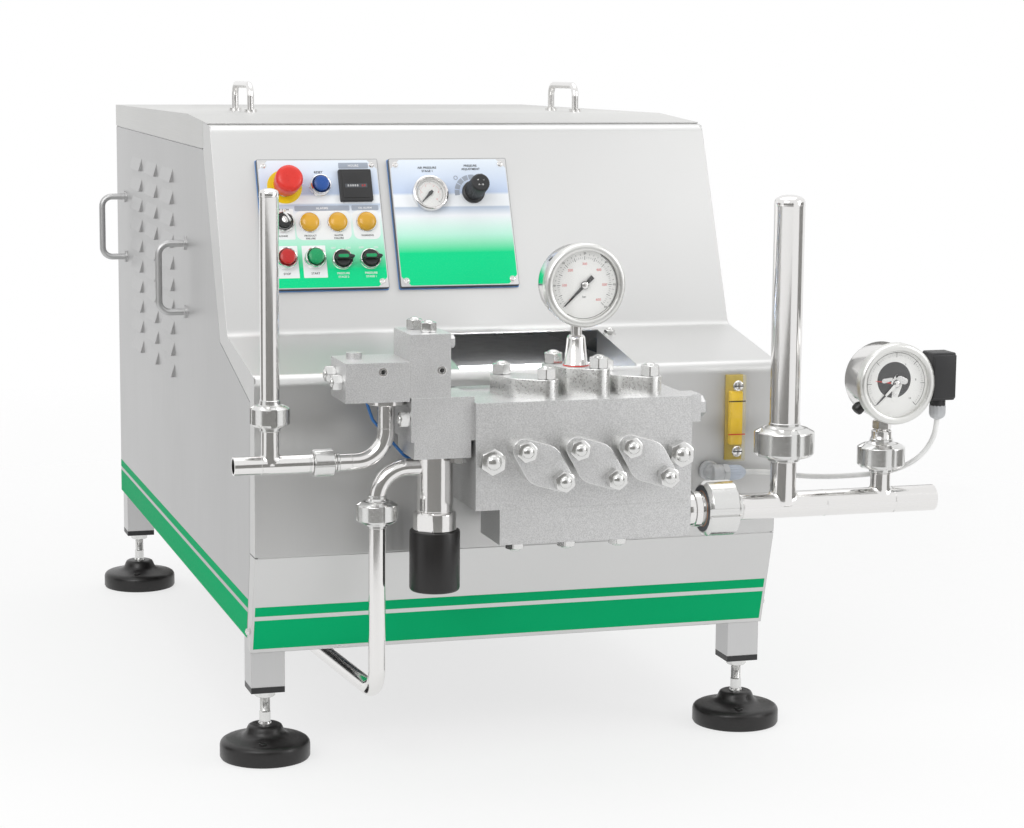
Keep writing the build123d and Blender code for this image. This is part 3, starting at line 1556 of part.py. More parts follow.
parts = build()
centre_x, centre_y = footprint_centre(parts)
print("origin of the working frame", round(-centre_x, 3), round(-centre_y, 3))
os.makedirs("parts", exist_ok=True)
for name, piece in parts.items():
    placed = Compound(children=[Pos(-centre_x, -centre_y, 0) * solid for solid in solids_of(piece)])
    export_step(placed, f"parts/{name}.step")
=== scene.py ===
import math

import bmesh
import bpy
from mathutils import Matrix, Vector


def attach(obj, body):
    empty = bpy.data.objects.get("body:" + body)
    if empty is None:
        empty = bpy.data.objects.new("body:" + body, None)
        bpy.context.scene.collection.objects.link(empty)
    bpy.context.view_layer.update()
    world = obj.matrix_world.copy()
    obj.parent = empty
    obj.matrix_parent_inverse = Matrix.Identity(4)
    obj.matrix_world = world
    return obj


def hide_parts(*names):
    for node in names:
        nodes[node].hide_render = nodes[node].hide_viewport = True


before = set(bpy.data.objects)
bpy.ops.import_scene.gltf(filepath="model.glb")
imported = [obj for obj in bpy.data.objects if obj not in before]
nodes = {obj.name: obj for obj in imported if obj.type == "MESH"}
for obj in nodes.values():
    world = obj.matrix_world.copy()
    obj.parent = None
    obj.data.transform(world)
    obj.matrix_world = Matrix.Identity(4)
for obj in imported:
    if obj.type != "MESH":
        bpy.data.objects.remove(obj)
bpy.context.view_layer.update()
scene = bpy.context.scene

# Sizes below are in millimetres in the drawing's frame: x = 0 in the cabinet's
# middle, y = 0 on its upright front sheet, z = 0 on the floor.
SHIFT = Vector((-78.0, -516.5, 0.0))
TO_ROW = Matrix.Scale(0.001, 4) @ Matrix.Translation(SHIFT)


def row(x, y, z):
    """A point of the drawing's frame, in the row frame and in metres."""
    return TO_ROW @ Vector((x, y, z))


# ---- Geometry: each function gives (points, faces) in the drawing's frame


def place(origin, axis, x_dir=None):
    """A matrix whose Z is an axis, standing at a point."""
    z = Vector(axis).normalized()
    x = z.orthogonal() if x_dir is None else Vector(x_dir) - z * Vector(x_dir).dot(z)
    x.normalize()
    matrix = Matrix((x, z.cross(x), z)).transposed().to_4x4()
    matrix.translation = Vector(origin)
    return matrix


def moved(shape, matrix):
    points, faces = shape
    return [matrix @ Vector(p) for p in points], faces


def lathe(profile, origin=(0, 0, 0), axis=(0, 0, 1), segments=72, radius_of=None):
    """Turns (radius, height) points about an axis; ends on the axis are closed."""
    points, faces, rings = [], [], []
    for r, h in profile:
        if r < 1e-6:
            rings.append([len(points)])
            points.append(Vector((0, 0, h)))
            continue
        ring = []
        for k in range(segments):
            a = 2 * math.pi * k / segments
            rr = radius_of(r, a, h) if radius_of else r
            ring.append(len(points))
            points.append(Vector((rr * math.cos(a), rr * math.sin(a), h)))
        rings.append(ring)
    closed = profile[0][0] > 1e-6 and profile[-1][0] > 1e-6
    pairs = list(zip(rings, rings[1:])) + ([(rings[-1], rings[0])] if closed else [])
    for low, high in pairs:
        for k in range(segments):
            n = (k + 1) % segments
            if len(low) == 1 and len(high) == 1:
                continue
            if len(low) == 1:
                faces.append((low[0], high[n], high[k]))
            elif len(high) == 1:
                faces.append((low[k], low[n], high[0]))
            else:
                faces.append((low[k], low[n], high[n], high[k]))
    return moved((points, faces), place(origin, axis))


def arcs(points, bend, steps=10):
    """A line through points with round corners of one radius, or one for each corner."""
    points = [Vector(p) for p in points]
    line = [points[0]]
    for i in range(1, len(points) - 1):
        r = bend[i - 1] if isinstance(bend, (list, tuple)) else bend
        a = (points[i - 1] - points[i]).normalized()
        b = (points[i + 1] - points[i]).normalized()
        half = a.angle(b) / 2
        reach = r / math.tan(half)
        centre = points[i] + (a + b).normalized() * (r / math.sin(half))
        start = points[i] + a * reach - centre
        end = points[i] + b * reach - centre
        for k in range(steps + 1):
            line.append(centre + start.normalized().slerp(end.normalized(), k / steps) * r)
    line.append(points[-1])
    return line


def sweep(points, radius, segments=40, caps=True):
    """A round bar along a line of points."""
    points = [Vector(p) for p in points]
    ahead = [(b - a).normalized() for a, b in zip(points, points[1:])]
    ahead.append(ahead[-1])
    side = ahead[0].orthogonal().normalized()
    out, faces = [], []
    for i, p in enumerate(points):
        direction = ahead[0] if i == 0 else (ahead[i - 1] + ahead[i]).normalized()
        side = (side - direction * side.dot(direction)).normalized()
        up = direction.cross(side)
        for k in range(segments):
            a = 2 * math.pi * k / segments
            out.append(p + (side * math.cos(a) + up * math.sin(a)) * radius)
    for i in range(len(points) - 1):
        for k in range(segments):
            n = (k + 1) % segments
            a, b = i * segments, (i + 1) * segments
            faces.append((a + k, a + n, b + n, b + k))
    if caps:
        faces.append(tuple(range(segments))[::-1])
        faces.append(tuple((len(points) - 1) * segments + k for k in range(segments)))
    return out, faces


def inset(outline, distance):
    """An outline moved inwards (it runs anticlockwise)."""
    out = []
    n = len(outline)
    for i in range(n):
        a, b, c = (Vector(outline[(i + d) % n]) for d in (-1, 0, 1))
        u, v = (b - a).normalized(), (c - b).normalized()
        nu, nv = Vector((-u.y, u.x)), Vector((-v.y, v.x))
        out.append(b + (nu + nv) * (distance / max(0.2, 1 + nu.dot(nv))))
    return out


def prism(outline, matrix, height, bevel=0.6, low_bevel=0.0, steps=3):
    """A flat outline raised along the place's Z, with rounded upper and lower edges."""
    twice_area = sum(a[0] * b[1] - b[0] * a[1] for a, b in zip(outline, outline[1:] + outline[:1]))
    if twice_area < 0:
        outline = outline[::-1]
    levels = []
    if low_bevel:
        for k in range(steps + 1):
            a = math.pi / 2 * k / steps
            levels.append((low_bevel * (1 - math.sin(a)), low_bevel * (1 - math.cos(a))))
    else:
        levels.append((0.0, 0.0))
    if bevel:
        for k in range(steps + 1):
            a = math.pi / 2 * k / steps
            levels.append((bevel * (1 - math.cos(a)), height - bevel * (1 - math.sin(a))))
    else:
        levels.append((0.0, height))
    points, faces = [], []
    n = len(outline)
    for shrink, z in levels:
        ring = inset(outline, shrink) if shrink > 1e-9 else [Vector(p) for p in outline]
        points += [Vector((p.x, p.y, z)) for p in ring]
    for i in range(len(levels) - 1):
        for k in range(n):
            m = (k + 1) % n
            faces.append((i * n + k, i * n + m, (i + 1) * n + m, (i + 1) * n + k))
    faces.append(tuple(range(n))[::-1])
    faces.append(tuple((len(levels) - 1) * n + k for k in range(n)))
    return moved((points, faces), matrix)


def rectangle(w, h, radius=0.0, steps=5):
    """A rectangle about the origin, with rounded corners."""
    if not radius:
        return [(-w / 2, -h / 2), (w / 2, -h / 2), (w / 2, h / 2), (-w / 2, h / 2)]
    out = []
    for cx, cy, a0 in ((1, -1, -90), (1, 1, 0), (-1, 1, 90), (-1, -1, 180)):
        for k in range(steps + 1):
            a = math.radians(a0 + 90 * k / steps)
            out.append((cx * (w / 2 - radius) + radius * math.cos(a), cy * (h / 2 - radius) + radius * math.sin(a)))
    return out


def circle(radius, segments=64):
    return [(radius * math.cos(2 * math.pi * k / segments), radius * math.sin(2 * math.pi * k / segments)) for k in range(segments)]


def block(x, y, z, bevel=0.8):
    """A box between two corners, with rounded edges."""
    matrix = place(((x[0] + x[1]) / 2, (y[0] + y[1]) / 2, z[0]), (0, 0, 1), (1, 0, 0))
    return prism(rectangle(x[1] - x[0], y[1] - y[0], bevel, 3), matrix, z[1] - z[0], bevel, bevel)


def nut(origin, axis, flats, height, stud=0.0, rise=0.0, turn=0.0):
    """A hexagon nut with turned chamfers, and the domed end of its stud."""
    r0 = flats / 2
    slope = math.tan(math.radians(30))

    def hexed(a):
        return r0 / math.cos((a + turn) % (math.pi / 3) - math.pi / 6)

    n = 72
    points, faces = [], []
    angles = [2 * math.pi * k / n for k in range(n)]
    rings = [
        [(r0 * 0.97, 0.0) for a in angles],
        [(hexed(a), (hexed(a) - r0 * 0.97) * slope) for a in angles],
        [(hexed(a), height - (hexed(a) - r0 * 0.94) * slope) for a in angles],
        [(r0 * 0.94, height) for a in angles],
    ]
    if stud:
        rings.append([(stud + 0.9, height) for a in angles])
        rings.append([(stud, height + 0.3) for a in angles])
        for k in range(1, 7):
            up = math.radians(14 * k)
            rings.append([(stud * math.cos(up), height + 0.3 + rise * math.sin(up)) for a in angles])
    for ring in rings:
        points += [Vector((r * math.cos(a), r * math.sin(a), h)) for a, (r, h) in zip(angles, ring)]
    for i in range(len(rings) - 1):
        for k in range(n):
            m = (k + 1) % n
            faces.append((i * n + k, i * n + m, (i + 1) * n + m, (i + 1) * n + k))
    faces.append(tuple(range(n))[::-1])
    faces.append(tuple((len(rings) - 1) * n + k for k in range(n)))
    return moved((points, faces), place(origin, axis))


def hull(*circles, segments=96):
    """The outline round some circles (x, y, r), anticlockwise."""
    cloud = []
    for x, y, r in circles:
        cloud += [(x + r * math.cos(2 * math.pi * k / segments), y + r * math.sin(2 * math.pi * k / segments)) for k in range(segments)]
    cloud = sorted(set(cloud))

    def half(seq):
        chain = []
        for p in seq:
            while len(chain) > 1 and (chain[-1][0] - chain[-2][0]) * (p[1] - chain[-2][1]) - (chain[-1][1] - chain[-2][1]) * (p[0] - chain[-2][0]) <= 0:
                chain.pop()
            chain.append(p)
        return chain[:-1]

    return half(cloud) + half(cloud[::-1])


def piece(name, shapes, material, body="machine", stands_for=(), sharp=32, side=None):
    """One object of the scene out of shapes, riding on a body. With side=(material, axis),
    faces that do not look along the axis take that second material."""
    points, faces = [], []
    for shape in shapes:
        start = len(points)
        points += [TO_ROW @ Vector(p) for p in shape[0]]
        faces += [tuple(start + i for i in f) for f in shape[1]]
    data = bpy.data.meshes.new(name)
    data.from_pydata(points, [], faces)
    data.validate()
    made = bmesh.new()
    made.from_mesh(data)
    bmesh.ops.recalc_face_normals(made, faces=made.faces)
    made.to_mesh(data)
    made.free()
    data.shade_smooth()
    data.set_sharp_from_angle(angle=math.radians(sharp))
    thing = bpy.data.objects.new(name, data)
    scene.collection.objects.link(thing)
    data.materials.append(material)
    if side:
        data.materials.append(side[0])
        along = Vector(side[1])
        for polygon in data.polygons:
            polygon.material_index = int(abs(polygon.normal.dot(along)) < 0.98)
    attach(thing, body)
    if stands_for:
        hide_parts(*stands_for)
    return thing


def printed(name, items, matrix, material, bold=0.0, body="machine"):
    """Plain words or numbers, each (words, x, y, size, lift), printed on a place as one mesh."""
    joined = bmesh.new()
    for words, x, y, size, lift in items:
        curve = bpy.data.curves.new(name, "FONT")
        curve.body = words
        curve.size = size
        curve.align_x = "CENTER"
        curve.align_y = "CENTER"
        curve.offset = bold
        curve.extrude = 0.03
        curve.resolution_u = 2
        holder = bpy.data.objects.new(name, curve)
        scene.collection.objects.link(holder)
        bpy.context.view_layer.update()
        data = bpy.data.meshes.new_from_object(holder)
        bpy.data.objects.remove(holder)
        data.transform(Matrix.Translation((x, y, lift)))
        joined.from_mesh(data)
        bpy.data.meshes.remove(data)
    data = bpy.data.meshes.new(name)
    joined.to_mesh(data)
    joined.free()
    data.transform(TO_ROW @ matrix)
    data.materials.clear()
    data.materials.append(material)
    thing = bpy.data.objects.new(name, data)
    scene.collection.objects.link(thing)
    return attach(thing, body)


# ---- Materials


class Shader:
    """A material with a short way of wiring its nodes."""

    def __init__(self, name, color=(0.5, 0.5, 0.5), metallic=0.0, roughness=0.5, **more):
        self.material = bpy.data.materials.new(name)
        self.material.use_nodes = True
        self.tree = self.material.node_tree
        self.tree.nodes.clear()
        out = self.node("ShaderNodeOutputMaterial")
        self.bsdf = self.node("ShaderNodeBsdfPrincipled")
        self.link(self.bsdf.outputs[0], out.inputs[0])
        self.set("Base Color", (*color, 1.0))
        self.set("Metallic", metallic)
        self.set("Roughness", roughness)
        for key, value in more.items():
            self.set(key.replace("_", " "), value)
        self.normal = None

    def node(self, kind, **settings):
        made = self.tree.nodes.new(kind)
        for key, value in settings.items():
            setattr(made, key, value)
        return made

    def link(self, a, b):
        self.tree.links.new(a, b)

    def set(self, name, value):
        if hasattr(value, "is_linked"):
            self.link(value, self.bsdf.inputs[name])
        else:
            self.bsdf.inputs[name].default_value = value
        return self

    def coords(self, scale):
        source = self.node("ShaderNodeTexCoord")
        mapping = self.node("ShaderNodeMapping")
        mapping.inputs["Scale"].default_value = scale
        self.link(source.outputs["Object"], mapping.inputs["Vector"])
        return mapping.outputs[0]

    def noise(self, scale=(1, 1, 1), detail=3.0, rough=0.6, size=1.0):
        made = self.node("ShaderNodeTexNoise")
        made.inputs["Scale"].default_value = size
        made.inputs["Detail"].default_value = detail
        made.inputs["Roughness"].default_value = rough
        self.link(self.coords(scale), made.inputs["Vector"])
        return made.outputs["Fac"]

    def span(self, value, low, high, start=0.3, end=0.7):
        made = self.node("ShaderNodeMapRange")
        made.inputs["From Min"].default_value = start
        made.inputs["From Max"].default_value = end
        made.inputs["To Min"].default_value = low
        made.inputs["To Max"].default_value = high
        self.link(value, made.inputs["Value"])
        return made.outputs[0]

    def blend(self, fac, a, b):
        made = self.node("ShaderNodeMix", data_type="RGBA")
        self.link(fac, made.inputs[0])
        for slot_index, value in ((6, a), (7, b)):
            if hasattr(value, "is_linked"):
                self.link(value, made.inputs[slot_index])
            else:
                made.inputs[slot_index].default_value = (*value, 1.0)
        return made.outputs[2]

    def bump(self, height, strength=0.2, distance=0.0005):
        made = self.node("ShaderNodeBump")
        made.inputs["Strength"].default_value = strength
        made.inputs["Distance"].default_value = distance
        self.link(height, made.inputs["Height"])
        if self.normal is not None:
            self.link(self.normal, made.inputs["Normal"])
        self.normal = made.outputs[0]
        self.link(self.normal, self.bsdf.inputs["Normal"])
        return self

    def edge(self, radius=0.0008):
        made = self.node("ShaderNodeBevel")
        made.samples = 4
        made.inputs["Radius"].default_value = radius
        self.normal = made.outputs[0]
        self.link(self.normal, self.bsdf.inputs["Normal"])
        return self


def sheet_steel(name, scale, color=(0.66, 0.66, 0.66)):
    """Ground stainless sheet with fine lines along one direction."""
    s = Shader(name, color, 1.0, 0.4)
    s.edge(0.0015)
    lines = s.noise(scale, 4.0, 0.7)
    cloud = s.noise((3, 3, 3), 2.0)
    s.set("Base Color", s.blend(s.span(cloud, 0, 1), tuple(c * 0.97 for c in color), tuple(c * 1.03 for c in color)))
    s.set("Roughness", s.span(lines, 0.36, 0.46))
    s.set("Anisotropic", 0.4)
    s.bump(lines, 0.06, 0.0002)
    return s.material


def blasted_steel(name, color=(0.66, 0.66, 0.66), grain=900):
    """Bead-blasted steel: a fine, even grain."""
    s = Shader(name, color, 1.0, 0.5)
    s.edge(0.0012)
    grain_value = s.noise((grain, grain, grain), 2.0, 0.7)
    cloud = s.noise((14, 14, 14), 3.0)
    speck = s.blend(s.span(grain_value, 0, 1, 0.35, 0.65), tuple(c * 0.80 for c in color), tuple(min(1, c * 1.16) for c in color))
    s.set("Base Color", speck)
    s.set("Roughness", s.span(cloud, 0.44, 0.54))
    s.bump(grain_value, 0.35, 0.0004)
    return s.material


def polished_steel(name, color=(0.80, 0.79, 0.78), rough=0.12, scale=(500, 500, 500)):
    """Polished tube or turned steel with faint polishing marks."""
    s = Shader(name, color, 1.0, rough)
    marks = s.noise(scale, 3.0, 0.7)
    s.set("Roughness", s.span(marks, rough * 0.7, rough * 1.4))
    s.bump(marks, 0.03, 0.0001)
    return s.material


def plastic(name, color, rough=0.45, bump=0.1, grain=700):
    """Moulded plastic with a fine texture and slight colour variation."""
    s = Shader(name, color, 0.0, rough)
    texture = s.noise((grain, grain, grain), 2.0)
    cloud = s.noise((40, 40, 40), 2.0)
    s.set("Base Color", s.blend(s.span(cloud, 0, 1), tuple(c * 0.9 for c in color), tuple(min(1.0, c * 1.1) for c in color)))
    s.set("Roughness", s.span(texture, rough * 0.85, min(1.0, rough * 1.15)))
    s.bump(texture, bump, 0.0002)
    return s.material


def ink(name, color, rough=0.5, shine=0.4):
    """Printed or painted colour."""
    s = Shader(name, color, 0.0, rough)
    s.set("Specular IOR Level", shine)
    cloud = s.noise((300, 300, 300), 2.0)
    s.set("Roughness", s.span(cloud, rough * 0.9, rough * 1.1))
    return s.material

def satin_steel(name, color=(0.72, 0.72, 0.71), rough=0.3, scale=(60, 60, 1500)):
    """Turned or brushed steel between polished and ground."""
    s = Shader(name, color, 1.0, rough)
    marks = s.noise(scale, 3.0, 0.7)
    s.set("Roughness", s.span(marks, rough * 0.75, rough * 1.3))
    s.bump(marks, 0.08, 0.0001)
    return s.material


FILM_TOP_Z, FILM_LOW_Z = 0.7813, 0.6094


def printed_film(name, stops):
    """Printed foil whose colour runs down the plate; stops give (share, colour)."""
    s = Shader(name, (0.8, 0.8, 0.8), 0.0, 0.22)
    s.set("Specular IOR Level", 0.25)
    source = s.node("ShaderNodeTexCoord")
    split = s.node("ShaderNodeSeparateXYZ")
    s.link(source.outputs["Object"], split.inputs[0])
    share = s.span(split.outputs[2], 0.0, 1.0, FILM_TOP_Z, FILM_LOW_Z)
    ramp = s.node("ShaderNodeValToRGB")
    s.link(share, ramp.inputs[0])
    bands = ramp.color_ramp.elements
    while len(bands) < len(stops):
        bands.new(0.5)
    for band, (at, color) in zip(bands, stops):
        band.position = at
        band.color = (*color, 1.0)
    s.set("Base Color", ramp.outputs[0])
    texture = s.noise((900, 900, 900), 2.0)
    s.set("Roughness", s.span(texture, 0.2, 0.3))
    s.bump(texture, 0.03, 0.0001)
    return s.material


def glassy(name, color, alpha, rough=0.05):
    """Clear plastic: partly see-through, with a shiny surface."""
    s = Shader(name, color, 0.0, rough)
    texture = s.noise((120, 120, 120), 2.0)
    s.set("Roughness", s.span(texture, rough * 0.8, rough * 1.2))
    s.set("Alpha", alpha)
    s.set("Coat Weight", 1.0)
    return s.material


def clear_lens(name):
    """A thin clear lens: see-through, with a faint reflection."""
    s = Shader(name, (1, 1, 1), 0.0, 0.03)
    out = s.tree.nodes["Material Output"]
    through = s.node("ShaderNodeBsdfTransparent")
    shine = s.node("ShaderNodeBsdfGlossy")
    texture = s.noise((60, 60, 60), 2.0)
    s.link(s.span(texture, 0.02, 0.05), shine.inputs["Roughness"])
    mixer = s.node("ShaderNodeMixShader")
    mixer.inputs[0].default_value = 0.05
    s.link(through.outputs[0], mixer.inputs[1])
    s.link(shine.outputs[0], mixer.inputs[2])
    s.link(mixer.outputs[0], out.inputs[0])
    return s.material


SHEET = sheet_steel("ground sheet upright", (900, 900, 9), (0.64, 0.64, 0.635))
ROOF = sheet_steel("ground sheet flat", (900, 9, 900), (0.60, 0.60, 0.59))
# The side panels get the same ground sheet as the front, only darker: painted shade for the sides turned away from the
# light.
SHADED_SIDE_SHEET = sheet_steel("ground sheet side with painted shade", (900, 900, 9), (0.52, 0.52, 0.52))
TUBE = sheet_steel("ground tube", (700, 700, 12), (0.60, 0.60, 0.60))
BLAST = blasted_steel("bead-blasted steel")
BRUSHED = satin_steel("brushed side wall", (0.66, 0.66, 0.66), 0.32)
BRUSHED_ROUND = satin_steel("brushed edge", (0.74, 0.74, 0.73), 0.3, (300, 300, 300))
SATIN = satin_steel("satin bezel", (0.74, 0.74, 0.72), 0.34, (400, 400, 400))
POLISH = polished_steel("polished pipe")
NUT = polished_steel("nut steel", (0.72, 0.72, 0.71), 0.2, (400, 400, 400))
BLACK = plastic("black plastic", (0.018, 0.018, 0.019), 0.42)
BLACK_PAD = plastic("black rubber", (0.009, 0.008, 0.008), 0.34, 0.25, 350)
WHITE = plastic("white plastic", (0.80, 0.80, 0.79), 0.35, 0.05)
MILKY = plastic("light grey plastic", (0.60, 0.61, 0.62), 0.3, 0.05)
LIGHT_GREY = plastic("grey plastic", (0.50, 0.51, 0.52), 0.35, 0.05)
BLUISH = plastic("bluish grey plastic", (0.52, 0.57, 0.65), 0.32, 0.05)
CABLE_WHITE = plastic("white cable", (0.78, 0.78, 0.77), 0.4, 0.03)
SIGHT_BACK = plastic("sight glass back", (0.50, 0.36, 0.06), 0.35, 0.03)
SEAL = plastic("orange seal", (0.60, 0.22, 0.05), 0.5, 0.05)
RED = plastic("red plastic", (0.72, 0.03, 0.02), 0.3, 0.04)
RED_DEEP = plastic("deep red plastic", (0.50, 0.015, 0.015), 0.25, 0.04)
BLUE = plastic("blue plastic", (0.01, 0.07, 0.30), 0.3, 0.04)
GREEN = plastic("green plastic", (0.0, 0.30, 0.10), 0.25, 0.04)
YELLOW = plastic("yellow plastic", (0.85, 0.62, 0.01), 0.35, 0.04)
AMBER = plastic("amber lens", (0.66, 0.36, 0.03), 0.16, 0.03)
HOSE = plastic("blue hose", (0.03, 0.16, 0.45), 0.25, 0.03)
GASKET_BLUE = plastic("blue gasket", (0.10, 0.25, 0.55), 0.5, 0.1)
PLATE_EDGE = satin_steel("plate steel", (0.62, 0.62, 0.62), 0.35, (500, 500, 500))
PLATE_SIDE = plastic("dark plate edge", (0.07, 0.075, 0.085), 0.45, 0.1)
DIAL_WHITE = ink("dial white", (0.84, 0.84, 0.82), 0.4)
FILM_WHITE = ink("film white", (0.86, 0.88, 0.88), 0.3)
CAPTION_GREY = ink("caption grey", (0.35, 0.39, 0.46), 0.35)
WHITE_INK = ink("white ink", (0.85, 0.85, 0.85), 0.5)
STRIPE = ink("green stripe", (0.0, 0.385, 0.142), 0.7, 0.1)
BLACK_INK = ink("black ink", (0.015, 0.015, 0.015))
RED_INK = ink("red ink", (0.65, 0.02, 0.02))
CASTING = plastic("light painted casting", (0.72, 0.73, 0.74), 0.35, 0.1, 200)
IRON = plastic("painted casting", (0.10, 0.12, 0.13), 0.5, 0.3, 200)
PAINT = plastic("motor paint", (0.06, 0.11, 0.15), 0.42, 0.2, 300)
CLEAR = glassy("clear acrylic", (0.95, 0.85, 0.35), 0.16)
OIL = plastic("amber oil", (0.95, 0.60, 0.01), 0.12, 0.02)
LENS = clear_lens("gauge lens")
PALE, BLUE_TINT, BAND = (0.78, 0.84, 0.90), (0.546, 0.645, 0.831), (0.86, 0.89, 0.92)
LINE_TINT, PALE_GREEN, FULL_GREEN = (0.50, 0.58, 0.70), (0.515, 0.871, 0.716), (0.0, 0.70, 0.27)
FILM_LEFT = printed_film("film left", [
    (0.0, PALE), (0.27, BLUE_TINT), (0.29, BAND), (0.34, BAND), (0.355, LINE_TINT), (0.43, BAND), (0.62, PALE_GREEN), (0.85, FULL_GREEN),
])
FILM_RIGHT = printed_film("film right", [
    (0.0, PALE), (0.27, BLUE_TINT), (0.29, BAND), (0.375, BAND), (0.385, LINE_TINT), (0.45, BAND), (0.60, PALE_GREEN), (0.74, FULL_GREEN),
])

NODE_LOOKS = {
    "base_frame": TUBE,
    "leg_inserts": BLACK,
    "front_cover": SHEET,
    "front_skirt": SHEET,
    "rear_panel": SHEET,
    "left_side_panel": SHADED_SIDE_SHEET,
    "right_side_panel": SHADED_SIDE_SHEET,
    "top_cover": ROOF,
    "lifting_handles": POLISH,
    "control_plates": WHITE,
    "switch_bezels": NUT,
    "estop_head": RED,
    "reset_button": BLUE,
    "stop_button": RED,
    "start_button": GREEN,
    "alarm_lamps": WHITE,
    "key_barrel": NUT,
    "stage_1_selector": BLACK,
    "stage_2_selector": BLACK,
    "hour_counter": BLACK,
    "air_gauge_case": BLACK,
    "air_gauge_pointer": BLACK,
    "air_regulator_body": NUT,
    "air_regulator_knob": BLACK,
    "crankcase": CASTING,
    "crankshaft": NUT,
    "connecting_rods": IRON,
    "plunger_left": POLISH,
    "plunger_middle": POLISH,
    "plunger_right": POLISH,
    "drive_motor": PAINT,
    "motor_pulley": IRON,
    "drive_belts": BLACK,
    "pump_block": BLAST,
    "suction_manifold": BLAST,
    "valve_covers": BLAST,
    "cap_nuts": NUT,
    "valve_base_block": BLAST,
    "first_stage_block": BLAST,
    "second_stage_block": BLAST,
    "valve_actuator": NUT,
    "actuator_cap": BLACK,
    "main_gauge_case": POLISH,
    "main_gauge_pointer": BLACK,
    "contact_gauge_case": POLISH,
    "contact_gauge_pointer": BLACK,
    "gauge_lenses": LENS,
    "outlet_pipework": POLISH,
    "inlet_pipework": POLISH,
    "drain_pipe": POLISH,
    "pulsation_dampers": POLISH,
    "union_nuts": NUT,
    "cable_fittings": BLACK,
    "gauge_cable": WHITE,
    "oil_sight_glass": NUT,
    "air_hoses": HOSE,
}
for node_name, look in NODE_LOOKS.items():
    nodes[node_name].data.materials.clear()
    nodes[node_name].data.materials.append(look)

# ---- The drawing's main places, in millimetres

HALF_WIDTH = 360.0
REAR_Y = 1186.0
SLOPE_TOP = Vector((0.0, 302.0, 826.0))
SLOPE_BOTTOM = Vector((0.0, 184.0, 550.0))
DOWN = (SLOPE_BOTTOM - SLOPE_TOP).normalized()
OUT = Vector((0.0, DOWN.z, -DOWN.y))
FRONT = (0, -1, 0)
UP = (0, 0, 1)
LOW = (0, 0, -1)
LEFT = (-1, 0, 0)
RIGHT = (1, 0, 0)
CYLINDERS = (-23.0, 47.0, 117.0)
CYLINDER_Z = 418.0
BLOCK_FRONT = -135.0
BLOCK_TOP = 496.0
VALVE_FRONT = -127.0
VALVE_DEPTH = 82.0
VALVE_Y = -86.0
INLET_Y = -92.0


def front_place(x, y, z):
    """A place that faces the front: local X to the right, local Y up."""
    return place((x, y, z), FRONT, RIGHT)


def slope_place(x, down, out=0.0):
    """A place on the sloped face: local X to the right, local Y up the slope."""
    origin = SLOPE_TOP + DOWN * down + OUT * out
    return place((x, origin.y, origin.z), OUT, RIGHT)


def branch(x, y, z, main, r, top, fillet=2.6):
    """A branch pulled out of a level pipe: its foot follows the pipe and is rounded into it."""
    points, faces = [], []
    count = 72
    levels = ((r + fillet, 0.0), (r + fillet * 0.45, 0.9), (r + fillet * 0.12, 2.2), (r, fillet + 1.6))
    for radius, rise in levels:
        for k in range(count):
            a = 2 * math.pi * k / count
            reach = min(main - 0.02, abs(radius * math.sin(a)))
            height = math.sqrt(main * main - reach * reach) - 0.15 + rise
            points.append(Vector((x + radius * math.cos(a), y + radius * math.sin(a), z + height)))
    for k in range(count):
        a = 2 * math.pi * k / count
        points.append(Vector((x + r * math.cos(a), y + r * math.sin(a), top)))
    for i in range(len(levels)):
        for k in range(count):
            m = (k + 1) % count
            faces.append((i * count + k, i * count + m, (i + 1) * count + m, (i + 1) * count + k))
    return points, faces


def rings(axis_origin, axis, bands, radius, rise=0.5, width=1.6):
    """Weld seams round a pipe, each at a distance along its axis."""
    shapes = []
    for at in bands:
        profile = [(radius - 0.3, at - width), (radius + rise, at - width * 0.4), (radius + rise, at + width * 0.4), (radius - 0.3, at + width)]
        shapes.append(lathe(profile, axis_origin, axis, 64))
    return shapes


def tube(origin, axis, outer, inner, length, segments=72):
    """An open pipe."""
    return lathe([(inner, 0), (outer - 0.3, 0), (outer, 0.3), (outer, length - 0.3), (outer - 0.3, length), (inner, length)], origin, axis, segments)


def flats(local, sign=1):
    """An outline turned anticlockwise, mirrored first where sign is -1."""
    points = [(sign * x, y) for x, y in local]
    area = sum(a[0] * b[1] - b[0] * a[1] for a, b in zip(points, points[1:] + points[:1]))
    return points if area > 0 else points[::-1]


# ---- Green stripes: on the skirt, round its flanges and along the side panels

SKIRT_TOP_Z = 282.5
SKIRT_LEAN = 38.0 / 133.5
FRONT_STRIPES = ((154.5, 195.0), (201.0, 214.0))
SIDE_STRIPES = ((165.4, 201.0), (207.0, 219.0))
STRIPE_LIFT = 0.25
skirt_out = Vector((0, -1, -SKIRT_LEAN)).normalized()
skirt_stretch = math.hypot(1, SKIRT_LEAN)


def skirt_y(z):
    return (SKIRT_TOP_Z - z) * SKIRT_LEAN


def panel_y(z):
    """The front edge of the side panel over the skirt's flange."""
    return 35.5 + (284.0 - z) * 24.4 / 119.0


stripe_shapes = []
for low, high in FRONT_STRIPES:
    mid = (low + high) / 2
    at = place((0, skirt_y(mid), mid), skirt_out, RIGHT)
    stripe_shapes.append(prism(rectangle(2 * HALF_WIDTH - 7, (high - low) * skirt_stretch), at, STRIPE_LIFT, 0.08))
piece("skirt_stripes", stripe_shapes, STRIPE)
for sign, name in ((-1, "left_panel"), (1, "right_panel")):
    shapes = []
    for low, high in SIDE_STRIPES:
        outline = [(panel_y(low) + 0.3, low), (REAR_Y, low), (REAR_Y, high), (panel_y(high) + 0.3, high)]
        at = place((sign * HALF_WIDTH, 0, 0), (sign, 0, 0), (0, sign, 0))
        shapes.append(prism(flats(outline, sign), at, STRIPE_LIFT, 0.08))
    piece(name + "_stripes", shapes, STRIPE, name)
    spot = (sign * HALF_WIDTH, skirt_y(178) + 11, 178)
    piece(name + "_flange_screw", [nut(spot, (sign, 0, 0), 8, 4.5, 2.2, 1.2)], NUT)

